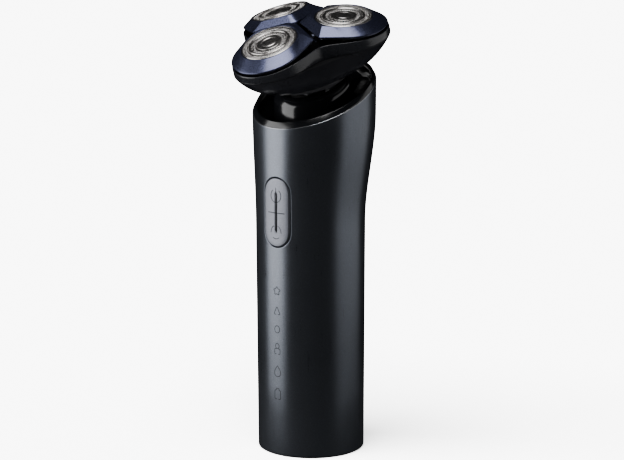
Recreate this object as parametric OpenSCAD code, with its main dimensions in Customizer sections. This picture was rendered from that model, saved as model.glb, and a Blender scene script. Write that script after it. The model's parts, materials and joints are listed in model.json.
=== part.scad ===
// Rotary electric shaver: a slim handle with a slanted neck, and a floating head with three cutters.
// Origin: centre of the base's flat face, on the handle's axis. +Z up, and the button faces -Y.

/* [Handle] */
// Radius of the handle at its base
base_r = 19.7; // [18:0.1:21]
// Growth of the handle's radius for each millimetre of height
body_taper = 0.005; // [0:0.001:0.008]
// How far the neck swells towards the back
neck_swell = 2.3; // [1.5:0.1:2.6]
// Wall thickness of the sleeve
sleeve_wall = 1.2; // [1:0.1:1.4]
// Height of the slanted rim on the handle's axis
rim_z = 131.4; // [130.4:0.5:133.4]
// Slope of the rim, in degrees
rim_slope = 24; // [22:0.2:27]

/* [Button] */
// Height of the rocker button's middle
button_z = 91.5; // [90:0.5:93]
// Length of the button from end to end
button_len = 25.8; // [24:0.2:27]
// Width of the button
button_w = 11.8; // [11.4:0.2:12.4]

/* [Head] */
// Height of the point about which the head floats
pivot_z = 138.24; // [138:0.02:138.5]
// Forward tilt of the head, in degrees
head_tilt = 19.4; // [18:0.2:20]
// Distance of each cutter's centre from the head's axis
cutter_ring_r = 17.15; // [17.05:0.05:17.25]
// Outward tilt of each cutter, in degrees
cutter_tilt = 10; // [9:0.5:11]
// Height of the foils' middle above the pivot
foil_h = 22.3; // [22:0.1:22.6]
// Radius of a foil
foil_r = 10.4; // [10:0.1:10.5]
// Height of the seam between the gear housing and the lid, above the pivot
seam_h = 13.3; // [13.2:0.1:13.4]

/* [Gears] */
// Module of the gears
gear_module = 0.6; // [0.6]
// Teeth of the centre gear
sun_teeth = 26; // [26]
// Teeth of each cutter gear
planet_teeth = 28; // [28]

/* [Cells and motor] */
// Radius of the battery cell
cell_r = 7.1; // [6.8:0.1:7.2]
// Length of the battery cell
cell_len = 50; // [48:1:51]
// Radius of the motor can
motor_r = 10.2; // [9.5:0.1:10.4]

/* [Hidden] */
$fn = 64;
eps = 0.01;
LOBES = [270, 30, 150];
swell_from = 86;
swell_to = 126;
rim_lift = 1.5;          // how far the rim ring stands above the sleeve
outline_mean = 26.5;     // the head's outline is mean + wave * cos(3 * angle from a lobe) - flat * cos(6 * angle)
outline_wave = 6.3;
outline_flat = 0.35;
skirt_r = 14.2;          // the round skirt under the head
bowl_foot_h = 1.8;
planet_ring_r = gear_module * (sun_teeth + planet_teeth) / 2;
magnet_ring_r = 15.45;
gear_h = 8.2;            // underside of the gears above the pivot
gear_t = 2.5;
tip_drop = 5.5;          // from a foil's middle down to the drive ball
tip_ball_r = 1.6;
drive_ball_r = 2.4;
spindle_r = 1.3;
petal_hinge_w = -9.5;    // the petal's hinge line, from the cutter's centre towards the head's axis
petal_hinge_drop = 5.6;
petal_pin_r = 0.8;
tip_h = foil_h - tip_drop * cos(cutter_tilt);
lid_deck_h = 13.3;
lid_deck_t = 1.2;
button_pin_y = -16.2;
board_y = -12.4;
BOARD_SCREW_Z = [18, 72];
YOKE_SCREWS = [30, 150, 210, 330];
icon_z = [62.4, 54.8, 48, 40.6, 32.1, 23.6];
port_size = [12.8, 7.2]; // pocket for a charging plug's body
port_depth = 5.2;

// ---------- shared functions and frames ----------

function smooth(t) = let (u = min(1, max(0, t))) u * u * (3 - 2 * u);
function swell(z) = neck_swell * smooth((z - swell_from) / (swell_to - swell_from));
function body_r(z) = base_r + body_taper * z + swell(z);
function lobe_wave(a) = cos(3 * (a - LOBES[1]));
function outline_r(a) = outline_mean + outline_wave * lobe_wave(a) - outline_flat * cos(6 * (a - LOBES[1]));

// From the bowl's round foot (0) to the seam (1): a curve between a cone and a quarter round.
function bowl_share(h) = let (t = (h - bowl_foot_h) / (seam_h - bowl_foot_h))
    0.42 * t + 0.58 * sqrt(max(0, 1 - (1 - t) * (1 - t)));
function bowl_r(a, h) = let (s = bowl_share(h)) skirt_r + 0.6 + (outline_r(a) - skirt_r - 0.6) * s;

module tilted(z, angle) translate([0, 0, z]) rotate([angle, 0, 0]) children();
module in_head() tilted(pivot_z, head_tilt) children();
module in_lobe(i) in_head() rotate([0, 0, LOBES[i - 1] - 90]) children();
// In a petal +Y points outward, +Z up through the foil, and the origin is the foil's middle.
module in_petal(i) in_lobe(i) translate([0, cutter_ring_r, foil_h]) rotate([-cutter_tilt, 0, 0]) children();
// Everything above the slanted rim plane, raised by lift.
module above_rim(lift = 0) tilted(rim_z, rim_slope) translate([-60, -60, lift]) cube([120, 120, 80]);
module neck_cylinder(r, from = 100, to = 170, back = 2.3) translate([0, back, from]) cylinder(r = r, h = to - from);

module ring(r_out, r_in, h) difference() {
    cylinder(r = r_out, h = h);
    translate([0, 0, -1]) cylinder(r = r_in, h = h + 2);
}

module across_x(x0, x1, r) translate([x0, 0, 0]) rotate([0, 90, 0]) cylinder(r = r, h = x1 - x0);
module across_y(y0, y1, r) translate([0, y0, 0]) rotate([-90, 0, 0]) cylinder(r = r, h = y1 - y0);

// A screw standing on +Z, its head at the bottom.
module screw(shank_r, shank_len, head_r, head_h) difference() {
    union() {
        cylinder(r = head_r, h = head_h);
        cylinder(r = shank_r, h = head_h + shank_len);
    }
    for (a = [0, 90]) rotate(a) translate([-head_r * 0.6, -0.2, -1]) cube([head_r * 1.2, 0.4, 1.5]);
}

// The hexagonal ball of a tilting drive: hexagons stacked along a round profile.
module hex_ball(r) stack_skin([for (t = [-80:20:80])
    [for (a = [0:60:300]) [r / cos(30) * cos(t) * cos(a), r / cos(30) * cos(t) * sin(a), r * sin(t)]]]);
module hex_socket(half_flats, h) cylinder(r = half_flats / cos(30), h = h, $fn = 6);

// Involute gear outline, thinned by play at the pitch circle.
function involute_angle(r, rb) = r <= rb ? 0 : sqrt(r * r / rb / rb - 1) * 180 / PI - acos(rb / r);
module gear_outline(teeth, play = 0.1) {
    pitch = gear_module * teeth / 2;
    rb = pitch * cos(20);
    root = pitch - 1.2 * gear_module;
    tip = pitch + 0.9 * gear_module;
    half = 90 / teeth + involute_angle(pitch, rb) - play / 2 / pitch * 180 / PI;
    radii = [max(rb, root), (rb + pitch) / 2, pitch, (pitch + tip) / 2, tip];
    function at(r, a) = [r * cos(a), r * sin(a)];
    polygon([for (k = [0:teeth - 1]) let (a0 = 360 * k / teeth) each concat(
        [at(root, a0 - half)],
        [for (r = radii) at(r, a0 - half + involute_angle(r, rb))],
        [for (n = [4:-1:0]) at(radii[n], a0 + half - involute_angle(radii[n], rb))],
        [at(root, a0 + half)])]);
}

// A closed skin around rings of points that all have the same count; the last ring joins the first.
module ring_skin(rings) {
    count = len(rings[0]);
    total = len(rings);
    polyhedron(
        points = [for (r = rings) each r],
        faces = [for (k = [0:total - 1], i = [0:count - 1])
            let (a = k * count + i, b = k * count + (i + 1) % count,
                 c = ((k + 1) % total) * count + (i + 1) % count, d = ((k + 1) % total) * count + i)
            each [[a, d, c], [a, c, b]]]);
}
// A solid between stacked rings, closed by flat ends.
module stack_skin(rings) {
    count = len(rings[0]);
    total = len(rings);
    polyhedron(
        points = [for (r = rings) each r],
        faces = concat(
            [[for (i = [0:count - 1]) i]],
            [[for (i = [count - 1:-1:0]) (total - 1) * count + i]],
            [for (k = [0:total - 2], i = [0:count - 1])
                let (a = k * count + i, b = k * count + (i + 1) % count) each
                [[a, a + count, b + count], [a, b + count, b]]]));
}

module head_outline(inset = 0, steps = 72) polygon([for (i = [0:steps - 1])
    let (a = 360 * (i + 0.5) / steps, r = outline_r(a) - inset) [r * cos(a), r * sin(a)]]);

module pill(length, width) {
    square([width, length - width], center = true);
    for (s = [-1, 1]) translate([0, s * (length - width) / 2]) circle(r = width / 2);
}
// The button's outline as a prism running along Y through the front wall.
module button_prism(grow = 0, from = -30, to = -10) translate([0, to, button_z]) rotate([90, 0, 0])
    linear_extrude(to - from) pill(button_len + 2 * grow, button_w + 2 * grow);

// ---------- handle ----------

module body_loft(inset, from, to, slices = 10) {
    for (z0 = [from, swell_from]) if (z0 == from) hull() {
        translate([0, 0, from]) cylinder(r = body_r(from) - inset, h = eps, $fn = 96);
        translate([0, 0, swell_from]) cylinder(r = body_r(swell_from) - inset, h = eps, $fn = 96);
    }
    dz = (to - swell_from) / slices;
    for (k = [0:slices - 1]) hull() for (z = [swell_from + k * dz, swell_from + (k + 1) * dz])
        translate([0, swell(z), z]) cylinder(r = body_r(z) - inset, h = eps, $fn = 96);
}
module body_sleeve() color("#3a3f47") difference() {
    body_loft(0, 0.3, 150);
    difference() {
        body_loft(sleeve_wall, -1, 152);
        translate([-30, -30, -2]) cube([60, 60, 1]);
    }
    above_rim();
    button_prism();
}

module rim_slice(r, lift, back) intersection() {
    neck_cylinder(r, back = back);
    tilted(rim_z, rim_slope) translate([-60, -60, lift - eps]) cube([120, 120, eps]);
}
module rim_ring() color("#15161a") difference() {
    union() {
        difference() {
            neck_cylinder(body_r(150) - 0.3);
            above_rim();
        }
        hull() {
            rim_slice(body_r(150) - 0.3, 0, 2.3);
            rim_slice(body_r(150) - 1.1, rim_lift, 2.5);
        }
        neck_cylinder(body_r(115) - sleeve_wall - 0.2, back = swell(115));
    }
    above_rim(rim_lift);
    neck_cylinder(body_r(150) - 2, 90, 180);
    difference() {
        translate([-40, -40, 90]) cube([80, 80, 90]);
        above_rim(-3);
    }
    difference() {
        neck_cylinder(40, 90, 180);
        neck_cylinder(body_r(126) - sleeve_wall - 0.15, 80, 190, swell(126));
        above_rim(0);
    }
}

module neck_shroud() color("#101114") difference() {
    neck_cylinder(body_r(150) - 2.1);
    above_rim(0.7);
    difference() {
        translate([-40, -40, 90]) cube([80, 80, 90]);
        above_rim(-8);
    }
    intersection() {
        neck_cylinder(body_r(150) - 3, 90, 180);
        above_rim(-1);
    }
    tilted(rim_z, rim_slope) translate([0, 2.4, -6.2]) rotate(22.5)
        cylinder(r1 = 17.2, r2 = 24, h = 6.2, $fn = 8);
    neck_cylinder(14.5, 90, 180, 1.6);
}

module neck_pedestal() color("#0c0d10") difference() {
    intersection() {
        translate([0, 1.6, 112]) cylinder(r = 14.4, h = 40);
        in_head() translate([0, 0, -14]) sphere(r = 17.5);
        in_head() translate([-30, -30, -60]) cube([60, 60, 58.2]);
    }
    translate([0, 0, 100]) cylinder(r = 11.8, h = 60);
}

module neck_post() color("#2a2c30") difference() {
    union() {
        translate([0, 0, 124]) cylinder(r = 11.7, h = 3);
        for (s = [-1, 1]) translate([s * 9.4, 0, 0]) {
            translate([-0.9, -1.9, 126.5]) cube([1.8, 3.8, pivot_z - 126.5]);
            translate([0, 0, pivot_z]) across_x(-0.9, 0.9, 1.9);
        }
    }
    translate([0, 0, 120]) cylinder(r = 3.1, h = 10);
    translate([0, 0, pivot_z]) across_x(-12, 12, 1.05);
}
module shaft_seal() color("#1d1d1f") translate([0, 0, 124.2]) ring(3.1, 1.1, 1.6);

module centring_cushion() color("#1d1d1f") translate([0, 0, 127]) rotate_extrude()
    polygon([[4.4, 0], [7.6, 0], [7, 2], [7.4, 3], [6.8, 5.8], [5.2, 5.8], [4.8, 3], [5.2, 2]]);

module motor_can() color("#b9bcc2") difference() {
    union() {
        translate([0, 0, 88]) cylinder(r = motor_r, h = 26);
        translate([0, 0, 114]) cylinder(r = 3, h = 1.6);
    }
    translate([0, 0, 87]) cylinder(r = motor_r - 0.8, h = 26.2);
    translate([0, 0, 100]) cylinder(r = 1.05, h = 20);
    for (s = [-1, 1]) translate([s * 6.5, 0, 110]) cylinder(r = 0.8, h = 10);
}
module motor_end_cap() color("#e9e4d8") {
    difference() {
        translate([0, 0, 86.6]) cylinder(r = motor_r - 0.8, h = 3);
        translate([0, 0, 88]) cylinder(r = 1.05, h = 5);
    }
    for (s = [-1, 1]) translate([s * 5 - 0.4, -1, 83.6]) cube([0.8, 2, 3]);
}
module motor_bracket() color("#33363b") difference() {
    union() {
        translate([0, 0, 114]) cylinder(r = 11.7, h = 1.6);
        translate([0, 0, 115.6]) ring(11.7, 10.2, 8.4);
    }
    translate([0, 0, 110]) cylinder(r = 3.05, h = 10);
    for (s = [-1, 1]) translate([s * 6.5, 0, 110]) cylinder(r = 0.85, h = 10);
}
module motor_shaft() color("#cfd2d6") translate([0, 0, 89]) cylinder(r = 1, h = 42);
module drive_coupler() color("#8d9299") difference() {
    translate([0, 0, pivot_z]) union() {
        hex_ball(drive_ball_r);
        translate([0, 0, -5]) cylinder(r = 1.2, h = 4);
        translate([0, 0, -9.5]) cylinder(r = 2.4, h = 4.6);
    }
    translate([0, 0, 120]) cylinder(r = 1, h = 11);
}

module inner_frame() color("#2e3136") difference() {
    union() {
        difference() {
            union() {
                translate([0, 0, 9]) ring(17.6, 16.2, 77);
                for (z = [9, 66, 84]) translate([0, 0, z]) cylinder(r = 17.6, h = 2);
            }
            translate([-30, -60, 0]) cube([60, 50, 120]);
        }
        for (z = BOARD_SCREW_Z) intersection() {
            translate([-16, board_y + 1, z - 3]) cube([32, 3.2, 6]);
            cylinder(r = 17.6, h = 100);
        }
    }
    translate([0, 1, 11.5]) cylinder(r = cell_r + 0.2, h = cell_len + 1);
    translate([0, 1, 0]) cylinder(r = 3, h = 20);
    translate([0, 0, 60]) cylinder(r = 6.5, h = 40);
    for (s = [-1, 1]) translate([s * 12, 0, 0]) cylinder(r = 0.9, h = 20);
    for (z = BOARD_SCREW_Z) translate([0, 0, z]) across_y(-20, 0, 0.8);
}
module battery_cell() color("#3f7ab5") translate([0, 1, 12]) {
    cylinder(r = cell_r, h = cell_len);
    translate([0, 0, cell_len]) cylinder(r = 2.6, h = 0.8);
}
module battery_tabs() color("#d4d0c4") {
    translate([-2, -8, 62.9]) cube([4, 12, 0.3]);
    translate([-2, -10, 11.6]) cube([4, 14, 0.3]);
}
module circuit_board() color("#1f5b3a") difference() {
    translate([-8.5, board_y, 14]) cube([17, 1, 92]);
    for (z = BOARD_SCREW_Z) translate([0, 0, z]) across_y(-20, 0, 0.85);
}
// Four equal screws: two hold the motor and two hold the circuit board.
module frame_screws() color("#a9adb3") {
    for (s = [-1, 1]) translate([s * 6.5, 0, 116.5]) rotate([180, 0, 0]) screw(0.8, 2.8, 1.5, 0.9);
    for (z = BOARD_SCREW_Z) translate([0, board_y - 0.9, z]) rotate([-90, 0, 0]) screw(0.8, 2.8, 1.5, 0.9);
}
module usb_receptacle() color("#c2c5ca") {
    difference() {
        translate([-4.5, -1.6, port_depth]) cube([9, 3.2, 3.7]);
        translate([-4.2, -1.3, port_depth - 1]) cube([8.4, 2.6, 4.4]);
    }
    translate([-3.3, -0.35, port_depth + 0.8]) cube([6.6, 0.7, 2.9]);
}
module tact_switches() color("#d9d9d9") for (s = [-1, 1]) translate([0, 0, button_z + s * 7.5]) {
    translate([-2, board_y - 1.6, -2]) cube([4, 1.6, 4]);
    across_y(board_y - 2, board_y - 1.6, 0.9);
}
module indicator_leds() color("#f2efe0") for (z = icon_z)
    translate([-0.8, board_y - 0.8, z - 0.5]) cube([1.6, 0.8, 1]);
module light_guide() color("#d8dade") difference() {
    intersection() {
        translate([-2.6, -19, 20]) cube([5.2, 5.4, 46]);
        cylinder(r = 18.35, h = 90);
    }
    for (z = icon_z) translate([-1.8, -17.4, z - 2.4]) cube([3.6, 6, 4.8]);
}

module rocker_button() color("#4a4f58") {
    difference() {
        intersection() {
            translate([0, 6.65, 70]) cylinder(r = 27, h = 45);
            button_prism(-0.22);
        }
        translate([0, 0, 60]) cylinder(r = 17.9, h = 60);
        for (s = [-1, 1]) intersection() {
            translate([0, 6.65, 70]) ring(40, 26.9, 45);
            translate([0, -20, button_z + s * 7.2]) across_y(-3, 3, 2);
        }
    }
    difference() {
        translate([-1.5, -18.4, button_z - 2.2]) cube([3, 3.4, 4.4]);
        translate([0, button_pin_y, button_z]) across_x(-5, 5, 0.85);
    }
    for (s = [-1, 1]) translate([0, 0, button_z + s * 7.5]) across_y(-18.4, board_y - 2.4, 1);
}
module button_bracket() color("#33363b") difference() {
    for (s = [-1, 1]) translate([s * 2.7 - 0.7, -17.2, button_z - 2]) cube([1.4, 17.2 + board_y, 4]);
    translate([0, button_pin_y, button_z]) across_x(-8, 8, 0.82);
}
module button_pin() color("#c6c9ce") translate([0, button_pin_y, button_z]) across_x(-3.4, 3.4, 0.8);
module button_seal() color("#1b1c1e") difference() {
    intersection() {
        translate([0, 0, 70]) ring(18.8, 18.1, 45);
        button_prism(2.2);
    }
    button_prism(0.3);
}

module base_cap() color("#202226") difference() {
    union() {
        cylinder(r = base_r - 1.0, h = 0.3);
        cylinder(r = base_r - sleeve_wall - 0.05, h = 8.8);
    }
    translate([0, 0, 4.6]) ring(25, base_r - sleeve_wall - 1.6, 2.2);
    translate([-port_size[0] / 2, -port_size[1] / 2, -1]) cube([port_size[0], port_size[1], port_depth + 1]);
    translate([-4.5, -1.6, 0]) cube([9, 3.2, 20]);
    for (s = [-1, 1]) translate([s * 12, 0, -1]) {
        cylinder(r = 0.9, h = 12);
        cylinder(r = 1.9, h = 2.6);
    }
}
module base_seal() color("#8c2f24") translate([0, 0, 5.7]) rotate_extrude() translate([base_r - sleeve_wall - 0.92, 0])
    circle(r = 0.68, $fn = 24);
module base_screws() color("#a9adb3") for (s = [-1, 1]) translate([s * 12, 0, 0.6]) screw(0.88, 9.6, 1.8, 1);

// ---------- floating joint ----------

module gimbal_ring() color("#7d8188") in_head() difference() {
    translate([0, 0, -1.4]) ring(8, 6.2, 2.8);
    across_x(-12, 12, 1);
    across_y(-12, 12, 1);
}
module gimbal_pins() color("#c6c9ce") in_head() for (a = [0:90:270]) rotate(a) across_x(6.3, 10.2, 1);

// ---------- head: gear housing ----------

module head_skirt() color("#3b3d42") in_head() rotate_extrude()
    polygon([[12.3, 0], [skirt_r, 0], [skirt_r + 0.3, 1], [skirt_r + 0.3, 1.8], [12.3, 1.8]]);

module head_base() color("#17181c") in_head() difference() {
    stack_skin([for (k = [0:8]) let (h = bowl_foot_h + (seam_h - 0.05 - bowl_foot_h) * k / 8)
        [for (a = [0:5:355]) let (r = bowl_r(a, h)) [r * cos(a), r * sin(a), h]]]);
    translate([0, 0, -1]) cylinder(r = 12.1, h = 5.6);
    translate([0, 0, -1]) cylinder(r = 3.7, h = 10);
    translate([0, 0, 6.5]) cylinder(r = 13, h = 10);
    for (a = LOBES) rotate(a) translate([planet_ring_r, 0, 6.5]) cylinder(r = 2.8, h = 4);
    translate([0, 0, 7.7]) linear_extrude(10) intersection() {
        head_outline(5.3, 72);
        union() {
            circle(r = 16.4);
            for (a = LOBES) rotate(a) translate([planet_ring_r, 0]) circle(r = 9.3);
        }
    }
    translate([0, 0, 11.1]) linear_extrude(10) head_outline(2.4, 72);
    for (a = LOBES) rotate(a) translate([planet_ring_r, 0, 5.1]) cylinder(r = 1.05, h = 4);
    for (a = LOBES) rotate(a + 60) translate([magnet_ring_r, 0, 10.5]) cylinder(r = 1.55, h = 8);
    for (a = LOBES) rotate(a) translate([27.6, 0, 9.6]) cylinder(r = 0.8, h = 8);
    for (a = YOKE_SCREWS) rotate(a) translate([9.6, 0, 4]) cylinder(r = 0.8, h = 1.9);
}

module head_yoke() color("#2a2c30") in_head() difference() {
    union() {
        translate([0, 0, 3]) cylinder(r = 12, h = 1.55);
        for (s = [-1, 1]) translate([0, s * 9.4, 0]) {
            translate([-1.9, -0.9, 0]) cube([3.8, 1.8, 3.2]);
            across_y(-0.9, 0.9, 1.9);
        }
    }
    cylinder(r = 3.9, h = 10);
    across_y(-12, 12, 1.05);
    for (a = YOKE_SCREWS) rotate(a) translate([9.6, 0, 0]) cylinder(r = 0.85, h = 10);
}
// Seven equal screws: four hold the yoke and three hold the gearbox cover.
module head_screws() color("#a9adb3") in_head() {
    for (a = YOKE_SCREWS) rotate(a) translate([9.6, 0, 2.15]) screw(0.8, 2.4, 1.4, 0.85);
    for (a = LOBES) rotate(a) translate([27.6, 0, 13]) rotate([180, 0, 0]) screw(0.8, 2.4, 1.4, 0.85);
}
module gearbox_cover() color("#24262b") in_head() difference() {
    union() {
        translate([0, 0, 11.15]) linear_extrude(1) head_outline(2.6, 60);
        for (a = LOBES) rotate(a) translate([planet_ring_r, 0, 11.15]) cylinder(r = 3, h = 2);
    }
    for (a = LOBES) rotate(a) translate([planet_ring_r, 0, 10]) cylinder(r = spindle_r + 0.05, h = 5);
    for (a = LOBES) rotate(a + 60) translate([magnet_ring_r, 0, 10]) cylinder(r = 1.55, h = 5);
    for (a = LOBES) rotate(a) translate([27.6, 0, 10]) cylinder(r = 0.85, h = 5);
}
module base_magnets() color("#c9ccd1") in_head() for (a = LOBES) rotate(a + 60) translate([magnet_ring_r, 0, 10.5])
    cylinder(r = 1.5, h = 1.65);

module sun_gear() color("#efe9da") in_head() difference() {
    union() {
        translate([0, 0, gear_h]) linear_extrude(gear_t) gear_outline(sun_teeth);
        translate([0, 0, 6.55]) cylinder(r = 5.4, h = 1.7);
        translate([0, 0, -1.8]) cylinder(r = 3.62, h = 10.2);
    }
    translate([0, 0, -3]) hex_socket(2.6, 6);
}
function mesh_phase(a) = a + 180 - (0.5 - a * sun_teeth / 360) * 360 / planet_teeth;
module planet_gear(i) color("#e6dfcc") in_head() rotate(LOBES[i - 1]) translate([planet_ring_r, 0, 0])
    rotate(mesh_phase(LOBES[i - 1]) - LOBES[i - 1]) {
        translate([0, 0, gear_h]) linear_extrude(gear_t) gear_outline(planet_teeth);
        translate([0, 0, 6.55]) cylinder(r = 2.4, h = 1.8);
        translate([0, 0, 5.2]) cylinder(r = 1, h = 2);
        translate([0, 0, gear_h + 2]) cylinder(r = spindle_r, h = 4.5);
        translate([0, 0, gear_h + 6]) cylinder(r = 1, h = 3);
        translate([0, 0, tip_h]) hex_ball(tip_ball_r);
    }

// ---------- head: lid, petals and cutters ----------

function band_top(a) = 17.03 - 1.38 * lobe_wave(a);
function band_loop(grow, h) = [for (a = [0:5:355]) let (r = outline_r(a) + grow) [r * cos(a), r * sin(a), h]];
function band_top_loop(grow, drop) = [for (a = [0:5:355])
    let (r = outline_r(a) + grow) [r * cos(a), r * sin(a), band_top(a) - drop]];
module head_band() color("#1b1d22") in_head() ring_skin([
    band_loop(0, seam_h), band_top_loop(0.1, 0.4), band_top_loop(-0.1, 0), band_top_loop(-0.55, 0),
    band_loop(-1.3, seam_h)]);

module lid_deck() color("#121317") difference() {
    union() {
        in_head() translate([0, 0, lid_deck_h]) linear_extrude(lid_deck_t) head_outline(1.35, 72);
        for (i = [1:3]) in_petal(i) for (s = [-1, 1]) translate([s * 9.7 - 0.5, petal_hinge_w, -petal_hinge_drop]) {
            across_x(0, 1, 1.4);
            translate([0, -1.4, -4.6]) cube([1, 2.8, 4.6]);
        }
    }
    for (i = [1:3]) in_petal(i) {
        translate([0, 0, -16]) cylinder(r = 8.9, h = 14);
        translate([0, petal_hinge_w, -petal_hinge_drop]) across_x(-12, 12, petal_pin_r + 0.05);
        translate([-9.1, petal_hinge_w - 1.8, -petal_hinge_drop - 2]) cube([18.2, 3.6, 4]);
    }
    in_head() for (a = LOBES) rotate(a + 60) translate([magnet_ring_r, 0, 10]) cylinder(r = 1.55, h = 10);
}
module lid_magnets() color("#c9ccd1") in_head() for (a = LOBES) rotate(a + 60) translate([magnet_ring_r, 0, 12.35])
    cylinder(r = 1.5, h = 2);

// Six equal coils: one round the inner end of each petal's hinge pins, with a leg down to the deck.
module petal_springs() color("#b4b8bd") for (i = [1:3], s = [-1, 1])
    in_petal(i) translate([s * 6.65 - 0.63, petal_hinge_w, -petal_hinge_drop]) spring_wire();
function wire_ring(turn, drop = 0) = let (a = 180 - 360 * turn)
    [for (b = [0:45:315]) let (r = 1.15 + 0.2 * cos(b)) [0.42 * turn + 0.2 * sin(b), r * cos(a), r * sin(a) - drop]];
module spring_wire() stack_skin(concat(
    [wire_ring(0, 3.6)], [for (turn = [0:1 / 15:3.01]) wire_ring(turn)], [wire_ring(3, -1.2)]));

// The petal's outline at its rim (wide) or around the foil (narrow): a round outer end and a wedge towards the middle.
module petal_outline(r, out, side, corner, tip) hull() {
    translate([0, out]) circle(r = r, $fn = 48);
    polygon([[-side, corner], [side, corner], [0.6, tip], [-0.6, tip]]);
}
module petal_frame(i) color("#39456b") in_petal(i) {
    difference() {
        union() {
            hull() {
                translate([0, 0, -eps]) linear_extrude(eps) petal_outline(11.1, 0.2, 10.6, -6.9, -13);
                translate([0, 0, -2.95]) linear_extrude(0.35) petal_outline(13.9, 1.9, 14.3, -7.5, -16);
            }
            translate([0, 0, -3.8]) linear_extrude(0.9) petal_outline(13.15, 1.9, 13.55, -7.2, -15.2);
        }
        translate([0, 0, -5]) cylinder(r = foil_r + 0.15, h = 6);
        translate([0, 0, -5]) cylinder(r = 11.5, h = 2.8);
    }
    difference() {
        union() for (s = [-1, 1]) translate([s * 8.4, petal_hinge_w, -petal_hinge_drop]) {
            across_x(-0.6, 0.6, 1.3);
            translate([-0.6, -1.3, 0]) cube([1.2, 2.6, petal_hinge_drop - 3.7]);
            across_x(s > 0 ? -2.3 : -1.7, s > 0 ? 1.7 : 2.3, petal_pin_r);
        }
        translate([0, 0, -10]) cylinder(r = 11.5, h = 8);
    }
}
module foil_retainer(i) color("#202328") in_petal(i) translate([0, 0, -3.5]) difference() {
    cylinder(r = 11.45, h = 0.55);
    translate([0, 0, -1]) cylinder(r = 10.1, h = 3);
}

module slot_ring(count, r_in, r_out, width) for (k = [0:count - 1]) rotate(360 * k / count)
    translate([r_in, -width / 2]) square([r_out - r_in, width]);
module foil_cap(i) color("#c8c6c9") in_petal(i) {
    difference() {
        translate([0, 0, -0.05]) cylinder(r = foil_r, h = 0.4);
        translate([0, 0, -1]) linear_extrude(3) slot_ring(36, 7.9, 9.9, 0.4);
        translate([0, 0, -1]) linear_extrude(3) slot_ring(24, 4.9, 6.8, 0.4);
        translate([0, 0, 0.2]) ring(2.9, 2.6, 1);
    }
    translate([0, 0, -2.6]) ring(foil_r, foil_r - 0.4, 2.6);
    translate([0, 0, -2.9]) ring(11.2, foil_r - 0.4, 0.5);
}
module cutter_blade(i) color("#d6d8dc") in_petal(i) {
    translate([0, 0, -1.9]) ring(9.6, 3, 0.5);
    for (k = [0:8]) rotate(40 * k) for (span = [[7.8, 9.5], [4.8, 6.9]])
        translate([span[0], -0.25, -1.45]) rotate([14, 0, 0]) cube([span[1] - span[0], 0.5, 1.25]);
}
module cutter_carrier(i) color("#2f6f8f") in_petal(i) difference() {
    union() {
        translate([0, 0, -7]) cylinder(r = 3.9, h = 5.1);
        translate([0, 0, -2.4]) cylinder(r = 7, h = 0.5);
        translate([0, 0, -2]) cylinder(r = 2.95, h = 0.7);
    }
    rotate(mesh_phase(LOBES[i - 1]) - LOBES[i - 1] + 90) translate([0, 0, -9]) hex_socket(1.85, 6.6);
    translate([0, 0, -9]) cylinder(r = 3, h = 3.1);
}

// ---------- what is drawn ----------

body_sleeve();
rim_ring();
neck_shroud();
neck_pedestal();
neck_post();
shaft_seal();
centring_cushion();
motor_can();
motor_end_cap();
motor_bracket();
inner_frame();
battery_cell();
battery_tabs();
circuit_board();
frame_screws();
usb_receptacle();
tact_switches();
indicator_leds();
light_guide();
button_bracket();
button_pin();
button_seal();
base_cap();
base_seal();
base_screws();
motor_shaft();
drive_coupler();
rocker_button();
gimbal_ring();
gimbal_pins();
head_base();
head_skirt();
head_yoke();
gearbox_cover();
head_screws();
base_magnets();
sun_gear();
head_band();
lid_deck();
lid_magnets();
petal_springs();
for (i = [1:3]) {
    planet_gear(i);
    petal_frame(i);
    foil_retainer(i);
    foil_cap(i);
    cutter_blade(i);
    cutter_carrier(i);
}
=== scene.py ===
"""Looks of a rotary shaver: smooth skins, finishes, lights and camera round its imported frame.

Lengths in the classes are millimetres; Mesher turns them into metres as it builds each piece.
"""

import json
import logging
import math
from dataclasses import dataclass, field
from enum import Enum
from typing import Callable, Iterable, Sequence

import bmesh
import bpy
import numpy as np
from mathutils import Matrix, Quaternion, Vector


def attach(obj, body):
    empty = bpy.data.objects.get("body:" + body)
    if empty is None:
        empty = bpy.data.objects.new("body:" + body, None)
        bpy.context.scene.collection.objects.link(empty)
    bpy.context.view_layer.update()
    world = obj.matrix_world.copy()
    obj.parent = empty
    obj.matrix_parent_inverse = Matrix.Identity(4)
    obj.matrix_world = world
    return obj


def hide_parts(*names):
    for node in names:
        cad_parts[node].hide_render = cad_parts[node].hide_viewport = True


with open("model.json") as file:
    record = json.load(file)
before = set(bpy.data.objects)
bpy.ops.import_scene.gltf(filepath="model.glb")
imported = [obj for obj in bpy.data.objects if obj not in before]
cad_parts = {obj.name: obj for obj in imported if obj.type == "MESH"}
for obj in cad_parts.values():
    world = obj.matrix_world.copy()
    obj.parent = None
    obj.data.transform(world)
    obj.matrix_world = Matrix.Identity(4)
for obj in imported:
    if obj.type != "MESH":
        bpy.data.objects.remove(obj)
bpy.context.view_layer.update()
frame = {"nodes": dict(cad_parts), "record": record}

MM = 0.001
LOG = logging.getLogger("shaver")
Point = tuple[float, float, float]


# ---------------------------------------------------------------- meshes

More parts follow.
